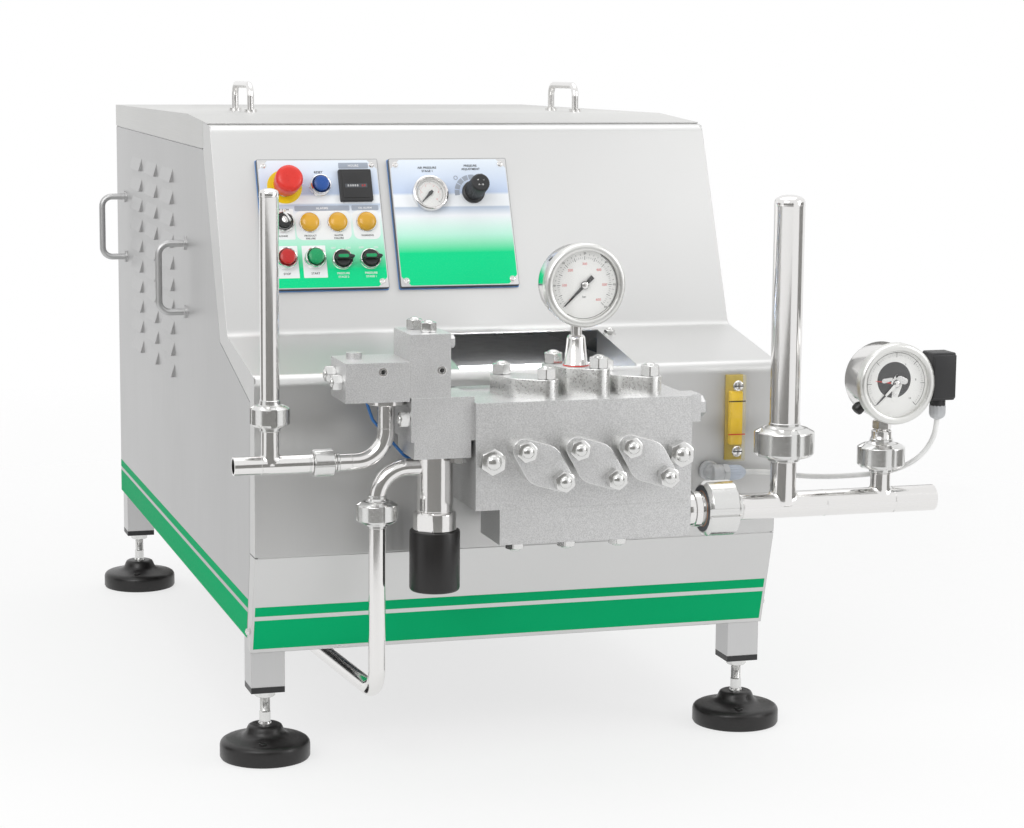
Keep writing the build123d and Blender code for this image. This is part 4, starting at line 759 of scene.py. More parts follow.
# A light strip behind the seam between the front sheet and the skirt
piece("front_seam", [block((-HALF_WIDTH + 4, HALF_WIDTH - 4), (0.7, 1.7), (281.5, 286), 0.2)], SHEET)

# ---- Levelling feet

PAD_RADIUS = 60.0
PAD_TOP = 46.4
PAD_NECK = 17.0
SPINDLE = 7.0
pad_profile = [
    (0, 0), (55, 0), (58.4, 1.2), (60, 4), (60, 19), (59.4, 22), (57.6, 24.6), (54.6, 26.4), (50, 27.6), (40, 29.4),
    (33, 31), (29, 32.8), (26.4, 35.4), (24.8, 38.8), (23.6, 42), (22, 44.6), (19.6, 46), (PAD_NECK, PAD_TOP), (9.4, PAD_TOP), (9.2, PAD_TOP - 1.5), (0, PAD_TOP - 1.5),
]
FEET = {"fl": ("foot_front_left", -335.5, 64.5), "fr": ("foot_front_right", 335.5, 64.5), "rl": ("foot_rear_left", -335.5, 1155.0), "rr": ("foot_rear_right", 335.5, 1155.0)}
for tag, (node, x, y) in FEET.items():
    sockets = []
    for a in (math.radians(-105), math.radians(75)):
        at = (x + 41 * math.cos(a), y + 41 * math.sin(a), 0)
        sockets.append(lathe([(0, 28), (5.4, 28), (5.4, 30.2), (4.4, 30.9), (3.6, 30.4), (0, 30.2)], at, UP, 24))
    piece(node + "_pad", [lathe(pad_profile, (x, y, 0), UP, 112)] + sockets, BLACK_PAD, "foot_" + tag, (node,))
    thread = [(0, PAD_TOP - 1.5), (8.8, PAD_TOP - 1.5), (8.8, PAD_TOP + 1.5), (8.2, PAD_TOP + 3), (7.6, PAD_TOP + 3.4), (7.6, 63), (SPINDLE, 63.6)]
    for k in range(32):
        z = 64 + 1.75 * k
        thread += [(SPINDLE - 0.75, z + 0.3), (SPINDLE, z + 0.95)]
    thread += [(SPINDLE - 1, 121), (0, 121)]
    piece(node + "_spindle", [lathe(thread, (x, y, 0), UP, 40), nut((x, y, 83.7), UP, 24, 9)], NUT, "foot_" + tag, (node,))

# ---- Pump end: covers, nuts and valve parts

LEAF_HEIGHTS = (24.0, 36.0, 24.0)
front_leaves, top_leaves = [], []
for x, height in zip(CYLINDERS, LEAF_HEIGHTS):
    front_leaves.append(prism(hull((-25, 20, 15), (25, -20, 15), (0, 0, 27)), front_place(x, BLOCK_FRONT, CYLINDER_Z), 26, 0.8))
    top_leaves.append(prism(hull((-21, 30, 15), (21, -30, 15), (0, 0, 27)), place((x, -74, BLOCK_TOP), UP, RIGHT), height, 0.8))
piece("front_covers", front_leaves, BLAST, stands_for=("valve_covers",), side=(BRUSHED_ROUND, FRONT))
piece("top_covers", top_leaves, BLAST, stands_for=("valve_covers",), side=(BRUSHED_ROUND, UP))

nuts = []
for x, height in zip(CYLINDERS, LEAF_HEIGHTS):
    for sign in (-1, 1):
        nuts.append(nut((x - sign * 25, BLOCK_FRONT - 26, CYLINDER_Z + sign * 20), FRONT, 24, 15, 8, 5, 0.3 + 0.2 * sign))
        nuts.append(nut((x - sign * 21, -74 + sign * 30, BLOCK_TOP + height), UP, 23, 14, 7.5, 3.2, 0.5 * sign))
    nuts.append(nut((x - 16, INLET_Y, 313), LOW, 23, 14, 7.5, 3.2, 0.4))
for x in (-85.4, 167.4):
    nuts.append(nut((x, BLOCK_FRONT, 423), FRONT, 30, 18, 10, 6, 0.35))
for share, side_z in ((0.3, 524), (0.75, 530)):
    y = VALVE_FRONT + VALVE_DEPTH * share
    nuts.append(nut((-161.5 - (share - 0.5) * 18, y, 584), UP, 19, 12.5, 6, 2.6, share))
    nuts.append(nut((-270, y, side_z), LEFT, 19, 12.5, 6, 2.6, 0.2))
nuts.append(nut((-186, VALVE_FRONT + 14, 476), LEFT, 19, 12, 6, 2.6, 0.1))
nuts.append(nut((-121, VALVE_FRONT + 13, 426), LOW, 18, 8))
piece("nuts", nuts, NUT, stands_for=("cap_nuts",))

ACTUATOR = (-144.0, VALVE_Y)


def flatted(r, a, h):
    return min(r, 24.93 / max(1e-6, abs(math.cos(a)))) if r > 24.95 else r


barrel = lathe([(0, 351), (23.3, 351), (23.3, 425.9), (0, 425.9)], (*ACTUATOR, 0), UP, 96)
collar = lathe([(0, 328.2), (26.9, 328.2), (27.7, 329), (27.7, 348), (27.2, 350.4), (24.2, 352), (0, 352)], (*ACTUATOR, 0), UP, 180, flatted)
piece("actuator_body", [barrel, collar] + rings((*ACTUATOR, 0), UP, (353.2,), 23.3, 0.4), POLISH, stands_for=("valve_actuator",))
cap = [(0, 249), (28, 249), (30.4, 249.6), (31.9, 251.2), (32.5, 253.6), (32.5, 325.5), (31.8, 327.4), (30, 328), (0, 328)]
piece("actuator_rubber_cap", [lathe(cap, (*ACTUATOR, 0), UP, 96)], BLACK_PAD, stands_for=("actuator_cap",))

# Ports of the valve blocks, each a countersunk ring with a dark bore
ports = [lathe([(3.0, -0.5), (5.8, 0.0), (5.8, 0.35), (5.0, 0.6), (3.3, 0.35), (3.0, -4)], (x, VALVE_FRONT, 538), FRONT, 40) for x in (-222.0, -146.5)]
piece("port_rims", ports, POLISH)

# ---- Pipework

PIPE, BIG = 11.0, 17.5
outlet = [
    sweep(arcs([(-208, VALVE_Y, 495), (-208, VALVE_Y, 420), (-306, VALVE_Y, 420)], 40, 20), PIPE, 64),
    tube((-404, VALVE_Y, 420), RIGHT, 11.9, 9.5, 100),
    branch(-357, VALVE_Y, 420, 11.9, PIPE, 471, 1.8),
    lathe([(11, 492), (23.4, 492), (24.5, 493), (24.5, 499.4), (24, 500), (11, 500)], (-208, VALVE_Y, 0), UP, 96),
]
outlet += rings((-404, VALVE_Y, 420), RIGHT, (35, 100), 11.9, 0.5, 1.2)
outlet += rings((-404, VALVE_Y, 420), RIGHT, (150,), PIPE, 0.4, 1.0)
outlet += rings((-208, VALVE_Y, 0), UP, (462,), PIPE, 0.4, 1.0)
piece("outlet_pipe", outlet, POLISH, stands_for=("outlet_pipework",))
inlet = [
    tube((195, INLET_Y, 339), RIGHT, BIG, 16, 357),
    branch(333, INLET_Y, 339, BIG, 17.4, 407),
    branch(474, INLET_Y, 339, BIG, 13.5, 386),
]
inlet += rings((195, INLET_Y, 339), RIGHT, (77, 196, 296), BIG, 0.35, 1.0)
inlet += rings((333, INLET_Y, 0), UP, (398,), 17.4, 0.35, 1.0) + rings((474, INLET_Y, 0), UP, (376,), 13.5, 0.35, 1.0)
inlet += [lathe([(BIG, 0), (21.2, 0), (21.5, 1), (21.5, 8), (23.5, 9), (23.5, 17), (19.8, 18), (19.8, 26), (BIG, 26)], (195, INLET_Y, 339), RIGHT, 72)]
piece("inlet_pipe", inlet, POLISH, stands_for=("inlet_pipework",))
DRAIN_X, DRAIN_Z = -220.0, 118.0
DRAIN_RUN = Vector((-0.073, 1, 0)).normalized()
drain_low = Vector((DRAIN_X, VALVE_Y, DRAIN_Z))
drain = [
    sweep(arcs([(-164, VALVE_Y, 410), (DRAIN_X, VALVE_Y, 410), drain_low, drain_low + DRAIN_RUN * 262], [40, 32], 20), PIPE, 64),
    tube(drain_low + DRAIN_RUN * 260, DRAIN_RUN, PIPE, 9.5, 40),
]
drain += rings((DRAIN_X, VALVE_Y, 0), UP, (369,), PIPE, 0.4, 1.0)
piece("drain", drain, POLISH, stands_for=("drain_pipe",))


def damper(x, y, bottom, top, r):
    """An upright closed tube with a seam under its dished end."""
    h = top - bottom
    dish = [(r * math.cos(a), h - r * 0.45 + r * 0.45 * math.sin(a)) for a in (math.radians(15 * k) for k in range(1, 6))]
    profile = [(0, 0), (r, 0), (r, h - r * 0.45 - 6), (r + 0.35, h - r * 0.45 - 5.4), (r + 0.35, h - r * 0.45 - 4.4), (r, h - r * 0.45 - 4), (r, h - r * 0.45)] + dish + [(0, h)]
    return lathe(profile, (x, y, bottom), UP, 80)


piece("dampers", [damper(-357, VALVE_Y, 471.3, 765, 12), damper(333, INLET_Y, 407.3, 750, 20)], POLISH, stands_for=("pulsation_dampers",))


def union(origin, axis, pipe, outer, length, liner=5.0, open_face=False):
    """A round slotted union nut between the stepped shoulders of its two liners."""
    low, high = -length / 2, length / 2
    shoulder = pipe + (outer - pipe) * 0.42
    chamfer = (outer - shoulder) * 0.42

    def slotted(r, a, h):
        spot = (a - math.pi / 4) % (math.pi / 2)
        spot = min(spot, math.pi / 2 - spot)
        return min(r, outer * 0.875) if spot < 0.15 and r > outer * 0.87 else r

    body = [(shoulder, low), (outer - chamfer, low), (outer - 0.6, low + chamfer * 0.75), (outer, low + chamfer)]
    body += [(outer, high - chamfer * 1.3), (outer - 0.6, high - chamfer * 1.05), (shoulder + chamfer * 0.6, high - 0.6)]
    body += [(shoulder, high), (shoulder - 1.5, high - 2), (shoulder - 1.5, low + 2)]
    shapes = [lathe(body, origin, axis, 240, slotted)]
    steps = [(pipe - 0.2, low - liner - 4), (pipe + 1.0, low - liner - 3), (pipe + 1.0, low - liner), (shoulder - 2.4, low - liner + 0.6)]
    steps += [(shoulder - 2.0, low + 3), (shoulder - 2.0, high + liner - 3), (shoulder - 4.0, high + liner - 2)]
    steps += [(pipe + 1.0, high + liner), (pipe + 1.0, high + liner + 3), (pipe - 0.2, high + liner + 4)]
    shapes.append(lathe(steps, origin, axis, 96))
    return shapes


unions = union((-289.5, VALVE_Y, 420), RIGHT, PIPE, 17.5, 27, 3)
unions += union((-357, VALVE_Y, 482.7), UP, 12, 25, 26, 3)
unions += union((-220, VALVE_Y, 354.5), UP, PIPE, 26.5, 27, 4)
unions += union((241, INLET_Y, 339), RIGHT, BIG, 36.5, 46, 3)
unions += union((333, INLET_Y, 424.1), UP, 20, 40, 38, 3)
unions += union((474, INLET_Y, 400.4), UP, 14.5, 32, 32, 3)
piece("unions", unions, NUT, stands_for=("union_nuts",), sharp=24)

# A flat dark ring painted as the shade inside the recess, and the seal, on the block's side of the inlet union
face = 241 - 23.0
piece("inlet_recess_painted_shade", [lathe([(22, -0.1), (30.5, -0.1), (30.5, 0.12), (22, 0.12)], (face - 0.1, INLET_Y, 339), LEFT, 96)], PLATE_SIDE)
piece("inlet_seal", [lathe([(21.6, -2), (23.2, -2), (23.6, 0.2), (22.8, 0.9), (21.6, 0.6)], (face, INLET_Y, 339), LEFT, 96)], SEAL)

# ---- Gauges


def gauge_shell(centre, front, back, bezel=54.0, case=50.0):
    """Case and wide bezel of a round gauge that faces forward."""
    f = front
    shell = lathe([(0, back), (case - 4, back), (case - 1, back + 1), (case, back + 4), (case, f - 15), (0, f - 15)], centre, FRONT, 120)
    rim = [(case - 1, f - 16), (bezel - 1, f - 16), (bezel, f - 15), (bezel, f - 5), (bezel - 0.7, f - 2.6), (bezel - 2.4, f - 0.8), (bezel - 4.5, f)]
    rim += [(bezel - 7.5, f - 0.3), (bezel - 9.2, f - 1.2), (bezel - 9.6, f - 2.4), (bezel - 9.6, f - 9)]
    return shell, lathe(rim, centre, FRONT, 144)


def dial_angle(share, start=225.0, span=270.0):
    return math.radians(start - span * share)


def tick_marks(matrix, count, r1, r2, width, every=1, skip=0, lift=0.12):
    """Thin radial marks of a scale; every nth is left out where skip is given."""
    shapes = []
    for k in range(count):
        if k % every or (skip and k % skip == 0):
            continue
        a = dial_angle(k / (count - 1))
        u, v = Vector((math.cos(a), math.sin(a))), Vector((-math.sin(a), math.cos(a))) * (width / 2)
        corners = [u * r1 - v, u * r2 - v, u * r2 + v, u * r1 + v]
        shapes.append(moved(([Vector((p.x, p.y, lift)) for p in corners], [(0, 1, 2, 3)]), matrix))
    return shapes


def arc_band(matrix, r1, r2, start, end, steps=40, lift=0.1):
    """A flat curved band between two angles in degrees."""
    points, faces = [], []
    for k in range(steps + 1):
        a = math.radians(start + (end - start) * k / steps)
        points += [Vector((r1 * math.cos(a), r1 * math.sin(a), lift)), Vector((r2 * math.cos(a), r2 * math.sin(a), lift))]
    for k in range(steps):
        faces.append((2 * k, 2 * k + 1, 2 * k + 3, 2 * k + 2))
    return moved((points, faces), matrix)


def dial_numbers(labels, radius, size, lift=0.12):
    """Numbers of a scale with their places round the dial."""
    items = []
    for k, label in enumerate(labels):
        a = dial_angle(k / (len(labels) - 1))
        items.append((label, radius * math.cos(a), radius * math.sin(a), size, lift))
    return items


MAIN = Vector((47.0, -74.0, 639.0))
CONTACT = Vector((471.0, INLET_Y, 503.0))
DIAL_RADIUS = 44.6
for tag, centre, front, dial_depth in (("main", MAIN, 40.0, 9.4), ("contact", CONTACT, 54.0, 8.8)):
    shell, rim = gauge_shell(centre, front, -10.0)
    node = tag + "_gauge_case"
    if tag == "main":
        z0 = BLOCK_TOP + 36
        stem = [
            lathe([(0, z0), (15.6, z0), (16, z0 + 0.5), (16, z0 + 2), (15.4, z0 + 3), (12, z0 + 35), (11.4, z0 + 37.6), (9.6, z0 + 39.4), (8.6, z0 + 40), (0, z0 + 40)], (MAIN.x, MAIN.y, 0), UP, 72),
            lathe([(0, z0 + 39), (7.4, z0 + 39), (7.4, z0 + 64), (0, z0 + 64)], (MAIN.x, MAIN.y, 0), UP, 56),
        ]
        piece("gauge_seal", [lathe([(15.4, z0 - 0.6), (16.6, z0 - 0.6), (16.9, z0 + 0.3), (16.6, z0 + 1.3), (15.4, z0 + 1.3)], (MAIN.x, MAIN.y, 0), UP, 64)], RED)
    else:
        stem = [
            lathe([(0, 386.3), (14.5, 386.3), (14.5, 424), (13.6, 425.5), (13.6, 433), (12.4, 434.2), (0, 434.2)], (474, INLET_Y, 0), UP, 64),
            nut((474, INLET_Y, 436), UP, 22, 12),
            lathe([(0, 434), (9, 434), (9, 459), (0, 459)], (474, INLET_Y, 0), UP, 48),
        ]
    piece(tag + "_gauge_shell", [shell] + stem, POLISH, stands_for=(node,))
    piece(tag + "_gauge_bezel", [rim], SATIN, stands_for=(node,))
    face = front_place(centre.x, centre.y - front + dial_depth, centre.z)
    piece(tag + "_dial", [prism(circle(DIAL_RADIUS, 96), face, 0.4, 0.1)], DIAL_WHITE, stands_for=(node,))
    over = face @ Matrix.Translation((0, 0, 0.4))
    if tag == "main":
        black = tick_marks(over, 61, 33.5, 36, 0.35, skip=5) + tick_marks(over, 61, 32, 37, 0.6, every=5) + tick_marks(over, 31, 38.2, 40, 0.45)
        black += [arc_band(over, 42.6, 43.2, -122, 60), arc_band(over, 43.6, 44.4, -40, 62)]
        piece("main_scale", black, BLACK_INK)
        printed("main_outer_numbers", dial_numbers(["0", "10", "20", "30", "40", "50", "60"], 40.6, 3.6)[1:], over, BLACK_INK)
        printed("main_inner_numbers", dial_numbers(["0", "100", "200", "300", "400", "500", "600"], 27, 4.6), over, RED_INK)
        printed("main_unit", [("bar", 0, -15, 4, 0.12)], over, BLACK_INK)
    else:
        black = tick_marks(over, 61, 36.5, 38.6, 0.25, skip=5) + tick_marks(over, 61, 35, 41, 0.6, every=10) + [arc_band(over, 41, 41.5, -45, 225, 72)]
        piece("contact_scale", black, BLACK_INK)
        printed("contact_numbers", dial_numbers(["0", "2", "4", "6", "8", "10"], 28.5, 3.8)[:1] + dial_numbers(["0", "2", "4", "6", "8", "10"], 28.5, 3.8)[3:], over, BLACK_INK)
        piece("contact_window", [prism([(p[0] - 3, p[1] + 5) for p in circle(24, 96)], over, 0.25, 0.1)], BLACK)
        tongue = hull((2, -2, 6.5), (-2, -20, 4), segments=64)
        piece("contact_tongue", [prism(tongue, over, 0.4, 0.1)], DIAL_WHITE)
        at = over @ Matrix.Translation((0, 0, 0.45))
        works = [prism(hull((-18, 4, 3.2), (-8, 6, 2.4)), at, 1.4, 0.4), prism(hull((5, 5, 5.4), (12, 3, 4.2)), at, 2.0, 0.6)]
        works += [prism(hull((0, 10, 2.2), (-6, 1, 2.0)), at, 1.6, 0.4), prism(hull((0, 10, 2.2), (6, 2, 2.0)), at, 1.6, 0.4)]
        works.append(prism(circle(2.4, 32), at @ Matrix.Translation((-2, -14, 0)), 1.0, 0.3))
        piece("contact_works", works, NUT)
        hand = over @ Matrix.Rotation(math.radians(225), 4, "Z") @ Matrix.Translation((0, 0, 2.7))
        piece("contact_hand_root", [prism([(0, -2.4), (22, -1.4), (22, 1.4), (0, 2.4)], hand, 0.5, 0.1)], DIAL_WHITE, "contact_pointer")
        turn = at @ Matrix.Rotation(math.radians(172), 4, "Z")
        piece("contact_set_hand", [prism([(8, -0.8), (30, -0.25), (30, 0.25), (8, 0.8)], turn, 0.8, 0.1)], RED)
    hub = front_place(centre.x, centre.y - front + 6.2, centre.z)
    piece(tag + "_hub", [lathe([(0, 0), (4.4, 0), (4.4, 1.4), (3.2, 2.2), (0, 2.4)], hub.translation, FRONT, 40)], POLISH, tag + "_pointer")
    tail = hub @ Matrix.Rotation(math.radians(225), 4, "Z") @ Matrix.Translation((0, 0, -1.2))
    piece(tag + "_pointer_tail", [prism([(-15, -2.9), (0, -2.2), (0, 2.2), (-15, 2.9)], tail, 0.9, 0.2)], BLACK, tag + "_pointer")

# Case plug of the contact gauge
piece("case_plug", [lathe([(0, 0), (7, 0), (8, 1.5), (8, 7), (6.5, 9.5), (3, 10.5), (0, 10.6)], CONTACT + Vector((-34, -10, -34)), (-0.7, 0, -0.7), 40)], BLACK_PAD)

# ---- Control plates: backing, printed film, screws and captions

PLATE = (170.0, 187.0)
PLATE_LEFT = (-301.0, -115.0)
PLATE_DOWN = 52.0
PLATE_THICK = 8.0
FILM_CLIP = 13.0


def clipped(w, h, cut):
    """A rectangle about the origin with its corners cut off."""
    a, b = w / 2, h / 2
    return [(-a + cut, -b), (a - cut, -b), (a, -b + cut), (a, b - cut), (a - cut, b), (-a + cut, b), (-a, b - cut), (-a, -b + cut)]


backs, gaskets, heads = [], [], []
for edge, film, tag in zip(PLATE_LEFT, (FILM_LEFT, FILM_RIGHT), ("left", "right")):
    at = slope_place(edge + PLATE[0] / 2, PLATE_DOWN + PLATE[1] / 2)
    gaskets.append(prism(rectangle(PLATE[0] + 2.0, PLATE[1] + 2.4, 2), at, 1.3, 0.3))
    backs.append(prism(rectangle(*PLATE, 2), at @ Matrix.Translation((0, 0, 1.0)), PLATE_THICK - 1.0, 0.7))
    top = at @ Matrix.Translation((0, 0, PLATE_THICK))
    piece(tag + "_film", [prism(clipped(PLATE[0] - 4, PLATE[1] - 4, FILM_CLIP), top, 0.25, 0.05)], film, stands_for=("control_plates",))
    for sx in (-1, 1):
        for sy in (-1, 1):
            spot = top @ Matrix.Translation((sx * (PLATE[0] / 2 - 9), sy * (PLATE[1] / 2 - 9), 0))
            heads.append(lathe([(0, 0), (4.4, 0), (4.4, 0.4), (3.7, 0.5), (3.6, 1.2), (2.9, 2.0), (1.6, 2.3), (1.3, 1.3), (0, 1.3)], spot.translation, OUT, 32))
piece("plate_gaskets", gaskets, GASKET_BLUE, stands_for=("control_plates",))
piece("plate_backs", backs, PLATE_EDGE, stands_for=("control_plates",), side=(PLATE_SIDE, tuple(OUT)))
piece("plate_screws", heads, POLISH, stands_for=("control_plates",))

LEFT_PLATE = PLATE_LEFT[0]
RIGHT_PLATE = PLATE_LEFT[1]
ESTOP, RESET, COUNTER, KEY = (36.0, 92.0), (85.0, 92.0), (135.0, 92.0), (30.0, 143.5)
LAMPS = ((66.0, 144.0), (105.5, 144.0), (146.0, 144.0))
STOP, START = (29.0, 196.5), (68.5, 196.5)
SELECTORS = ((107.0, 198.0), (146.0, 198.0))
ON_FILM = PLATE_THICK + 0.25


def left_spot(spot, out=0.0):
    return slope_place(LEFT_PLATE + spot[0], spot[1], PLATE_THICK + out)


def patch(w, h, spot, radius=1.5, lift=0.25, origin=LEFT_PLATE):
    """A thin printed panel centred on a spot of a plate."""
    return prism(rectangle(w, h, radius), slope_place(origin + spot[0], spot[1], PLATE_THICK + lift), 0.12, 0.03)


piece("estop_disc", [lathe([(14.8, 0.2), (24, 0.2), (24.2, 0.6), (23.6, 1.1), (14.8, 1.1)], left_spot(ESTOP).translation, OUT, 96)], YELLOW)
grey_bars = [patch(42, 8.5, (135, 62)), patch(77, 7.5, (85.5, 123.5)), patch(38, 7.5, (146, 123.5))]
piece("caption_bars", grey_bars, CAPTION_GREY)
panels = [patch(77, 42, (85.5, 148), 9), patch(38, 42, (146, 148), 9), patch(36, 44, (27, 146), 2), patch(34, 46, (29, 200), 1), patch(33, 46, (68.5, 200), 1)]
piece("white_panels", panels, FILM_WHITE)
words_dark = [
    ("RESET", 85, 71.5, 4.6), ("PRODUCT", 66, 163, 3.6), ("FAILURE", 66, 167, 3.6), ("WATER", 105.5, 163, 3.6), ("FAILURE", 105.5, 167, 3.6),
    ("WARNING", 146, 163.5, 3.6), ("STOP", 29, 217, 4.2), ("START", 68.5, 217, 4.2), ("OFF  0  ON", 30, 125, 3.6), ("MACHINE", 27, 163, 3.4),
]
words_white = [
    ("ALARMS", 85.5, 123.7, 4.6), ("OIL ALARM", 146, 123.7, 3.8), ("HOURS", 135, 62.2, 4.6), ("OFF", 96, 181, 4.0), ("ON", 117, 181, 4.0), ("OFF", 135.5, 181, 4.0), ("ON", 156, 181, 4.0),
    ("PRESSURE", 107, 217.5, 4.0), ("STAGE 2", 107, 222.5, 4.0), ("PRESSURE", 146, 217.5, 4.0), ("STAGE 1", 146, 222.5, 4.0),
]
origin_left = slope_place(LEFT_PLATE, 0, ON_FILM)
origin_right = slope_place(RIGHT_PLATE, 0, ON_FILM)
printed("captions_dark", [(w, u, -d, s, 0.2) for w, u, d, s in words_dark], origin_left, BLACK_INK, 0.06)
printed("captions_white", [(w, u, -d, s, 0.2) for w, u, d, s in words_white], origin_left, WHITE_INK, 0.06)
printed("captions_right", [(w, u, -d, s, 0.2) for w, u, d, s in (("AIR PRESSURE", 54, 66, 4.4), ("STAGE 1", 54, 71, 4.4), ("PRESSURE", 117, 63.5, 4.4), ("ADJUSTMENT", 117, 68.5, 4.4))], origin_right, BLACK_INK, 0.06)

# Switch collars, as one screwed ring each
collars = []
for spot in (RESET, STOP, START, KEY, *SELECTORS):
    at = left_spot(spot).translation
    h = 12.5 if spot in (RESET, STOP, START) else 7.0
    collars.append(lathe([(11.2, 0), (14.6, 0), (14.6, 2.2), (14.1, 2.8), (14.1, 3.4), (14.6, 4), (14.6, h - 2.4), (13.9, h - 0.7), (12.9, h), (12.0, h - 0.4), (11.4, h - 1.6), (11.2, h - 3)], at, OUT, 80))
collars.append(lathe([(7.1, 0), (14.6, 0), (14.6, 2.4), (13.8, 3.0), (7.1, 3.0)], left_spot(ESTOP).translation, OUT, 80))
piece("collars", collars, POLISH, stands_for=("switch_bezels",))


def stemmed(profile, spot, lift, depth):
    """A head on its stem, turned about a control's axis."""
    full = [(0, -depth), (6.9, -depth), (6.9, 0)] + profile
    return lathe(full, left_spot(spot, lift).translation, OUT, 80)


head = [(16, 0), (17.2, 1), (18.2, 10), (18.9, 20), (19, 24.5), (18.5, 27.5), (16.8, 29.9), (13.5, 31.3), (9, 31.9), (0, 32)]
piece("estop_mushroom", [stemmed(head, ESTOP, 9.3, 9.5)], RED, "estop", ("estop_head",))
button = [(10.5, 0), (10.5, 6.2), (10.0, 7.4), (8.8, 7.9), (6.5, 8.4), (3, 8.9), (0, 9)]
for spot, node, body, look, tag in ((RESET, "reset_button", "reset", BLUE, "blue_plastic"), (STOP, "stop_button", "stop", RED_DEEP, "red_plastic"), (START, "start_button", "start", GREEN, "green_plastic")):
    piece(node + "_cap", [stemmed(button, spot, 9.3, 10)], look, body, (node,))
piece("lamp_rims", [lathe([(0, 0), (14.6, 0), (14.6, 1.8), (14.0, 2.6), (0, 2.6)], left_spot(s).translation, OUT, 72) for s in LAMPS], POLISH, stands_for=("alarm_lamps",))
dome = [(0, 2.4), (13.2, 2.4), (13.2, 4.4)] + [(13.2 * math.cos(math.radians(9 * k)), 4.4 + 5.6 * math.sin(math.radians(9 * k))) for k in range(1, 10)] + [(0, 10)]
piece("lamp_domes", [lathe(dome, left_spot(s).translation, OUT, 72) for s in LAMPS], AMBER, stands_for=("alarm_lamps",))
for index, spot in enumerate(SELECTORS):
    body, node = f"selector_{index + 1}", f"stage_{index + 1}_selector"
    knob = [(10.9, 0), (10.9, 5.2), (10.2, 6), (0, 6)]
    at = left_spot(spot, 11.0)
    bar = prism(hull((-9, 0, 3.4), (5, 0, 3.6), (12.2, 0, 2.0), segments=40), at, 7.5, 1.0)
    piece(node + "_knob", [stemmed(knob, spot, 5.3, 10), bar], BLACK, body, (node,))
    mark = at @ Matrix.Translation((0, 0, 7.4))
    piece(node + "_mark", [prism(hull((-7, 0, 2.2), (3.5, 0, 2.4), segments=24), mark, 0.5, 0.15)], GREEN, body)
key_at = left_spot(KEY, 5.3)
piece("key_cylinder", [stemmed([(9.8, 0), (9.8, 8.0), (8.8, 9.2), (6.2, 9.2), (0, 9.2)], KEY, 5.3, 10)], BLACK, "key", ("key_barrel",))
key_up = key_at @ Matrix.Rotation(math.radians(-60), 4, "Z") @ Matrix.Rotation(math.radians(90), 4, "X")
key_bits = [lathe([(0, 9), (5.0, 9), (5.0, 10.6), (4.4, 11.2), (0, 11.2)], key_at.translation, OUT, 48)]
key_bits.append(prism(flats([(-3.4, 10), (3.4, 10), (3.4, 17), (7.5, 19), (8.4, 23), (6.4, 26), (-6.4, 26), (-8.4, 23), (-7.5, 19), (-3.4, 17)]), key_up @ Matrix.Translation((0, 0, -1.0)), 2.0, 0.4))
piece("key", key_bits, POLISH, "key", ("key_barrel",))

# Hour counter: stepped frame, window and digits
at = left_spot(COUNTER)
frame_shapes = [prism(rectangle(46, 46, 2), at, 6.2, 1.0), prism(rectangle(37, 38, 1.5), at @ Matrix.Translation((0, 0, 6)), 1.0, 0.5)]
piece("counter_frame", frame_shapes, BLACK, stands_for=("hour_counter",))
over = at @ Matrix.Translation((0, 0, 7.0))
piece("counter_window", [prism(rectangle(31, 5.6, 0.6), over @ Matrix.Translation((0, -1.5, 0)), 0.25, 0.05)], PLATE_SIDE)
printed("counter_digits", [("0 0 0 0 0", -4.5, -1.5, 4.2, 0.4)], over, WHITE_INK, 0.05)
printed("counter_tenths", [("0 0", 10.5, -1.5, 4.2, 0.4)], over, RED_INK, 0.05)

# Air gauge and regulator on the right-hand plate
AIR_GAUGE, REGULATOR = (54.0, 105.0), (117.0, 103.0)


def right_spot(spot, out=0.0):
    return slope_place(RIGHT_PLATE + spot[0], spot[1], PLATE_THICK + out)


at = right_spot(AIR_GAUGE)
rim = [(20.9, 1), (25.4, 0.2), (25.5, 7.2), (25, 8.8), (23.8, 9.8), (22.4, 10), (21.4, 9.2), (20.9, 7.8)]
piece("air_gauge_rim", [lathe(rim, at.translation, OUT, 96)], POLISH, stands_for=("air_gauge_case",))
over = at @ Matrix.Translation((0, 0, 3.6))
piece("air_dial", [prism(circle(20.9, 72), over, 0.4, 0.05)], DIAL_WHITE, stands_for=("air_gauge_case",))
over = over @ Matrix.Translation((0, 0, 0.4))
piece("air_scale", tick_marks(over, 41, 16.8, 18.2, 0.3, skip=10) + tick_marks(over, 41, 15.6, 18.4, 0.5, every=10) + [arc_band(over, 18.4, 18.7, -45, 225, 64)], BLACK_INK)
piece("air_inner_scale", tick_marks(over, 31, 13.6, 14.6, 0.3), RED_INK)
printed("air_numbers", dial_numbers(["0", "2", "4", "6", "8", "10"], 12.0, 2.8), over, RED_INK)
at = right_spot(REGULATOR)
flange = [(0, 0), (15.4, 0), (16, 0.8), (16, 5.2), (15.2, 6), (13, 6.6), (13, 17), (0, 17)]


def ribbed(r, a, h):
    return r - 0.8 * (math.cos(a * 24) < -0.3) if 12.4 < r < 14.2 and h > 6.8 else r


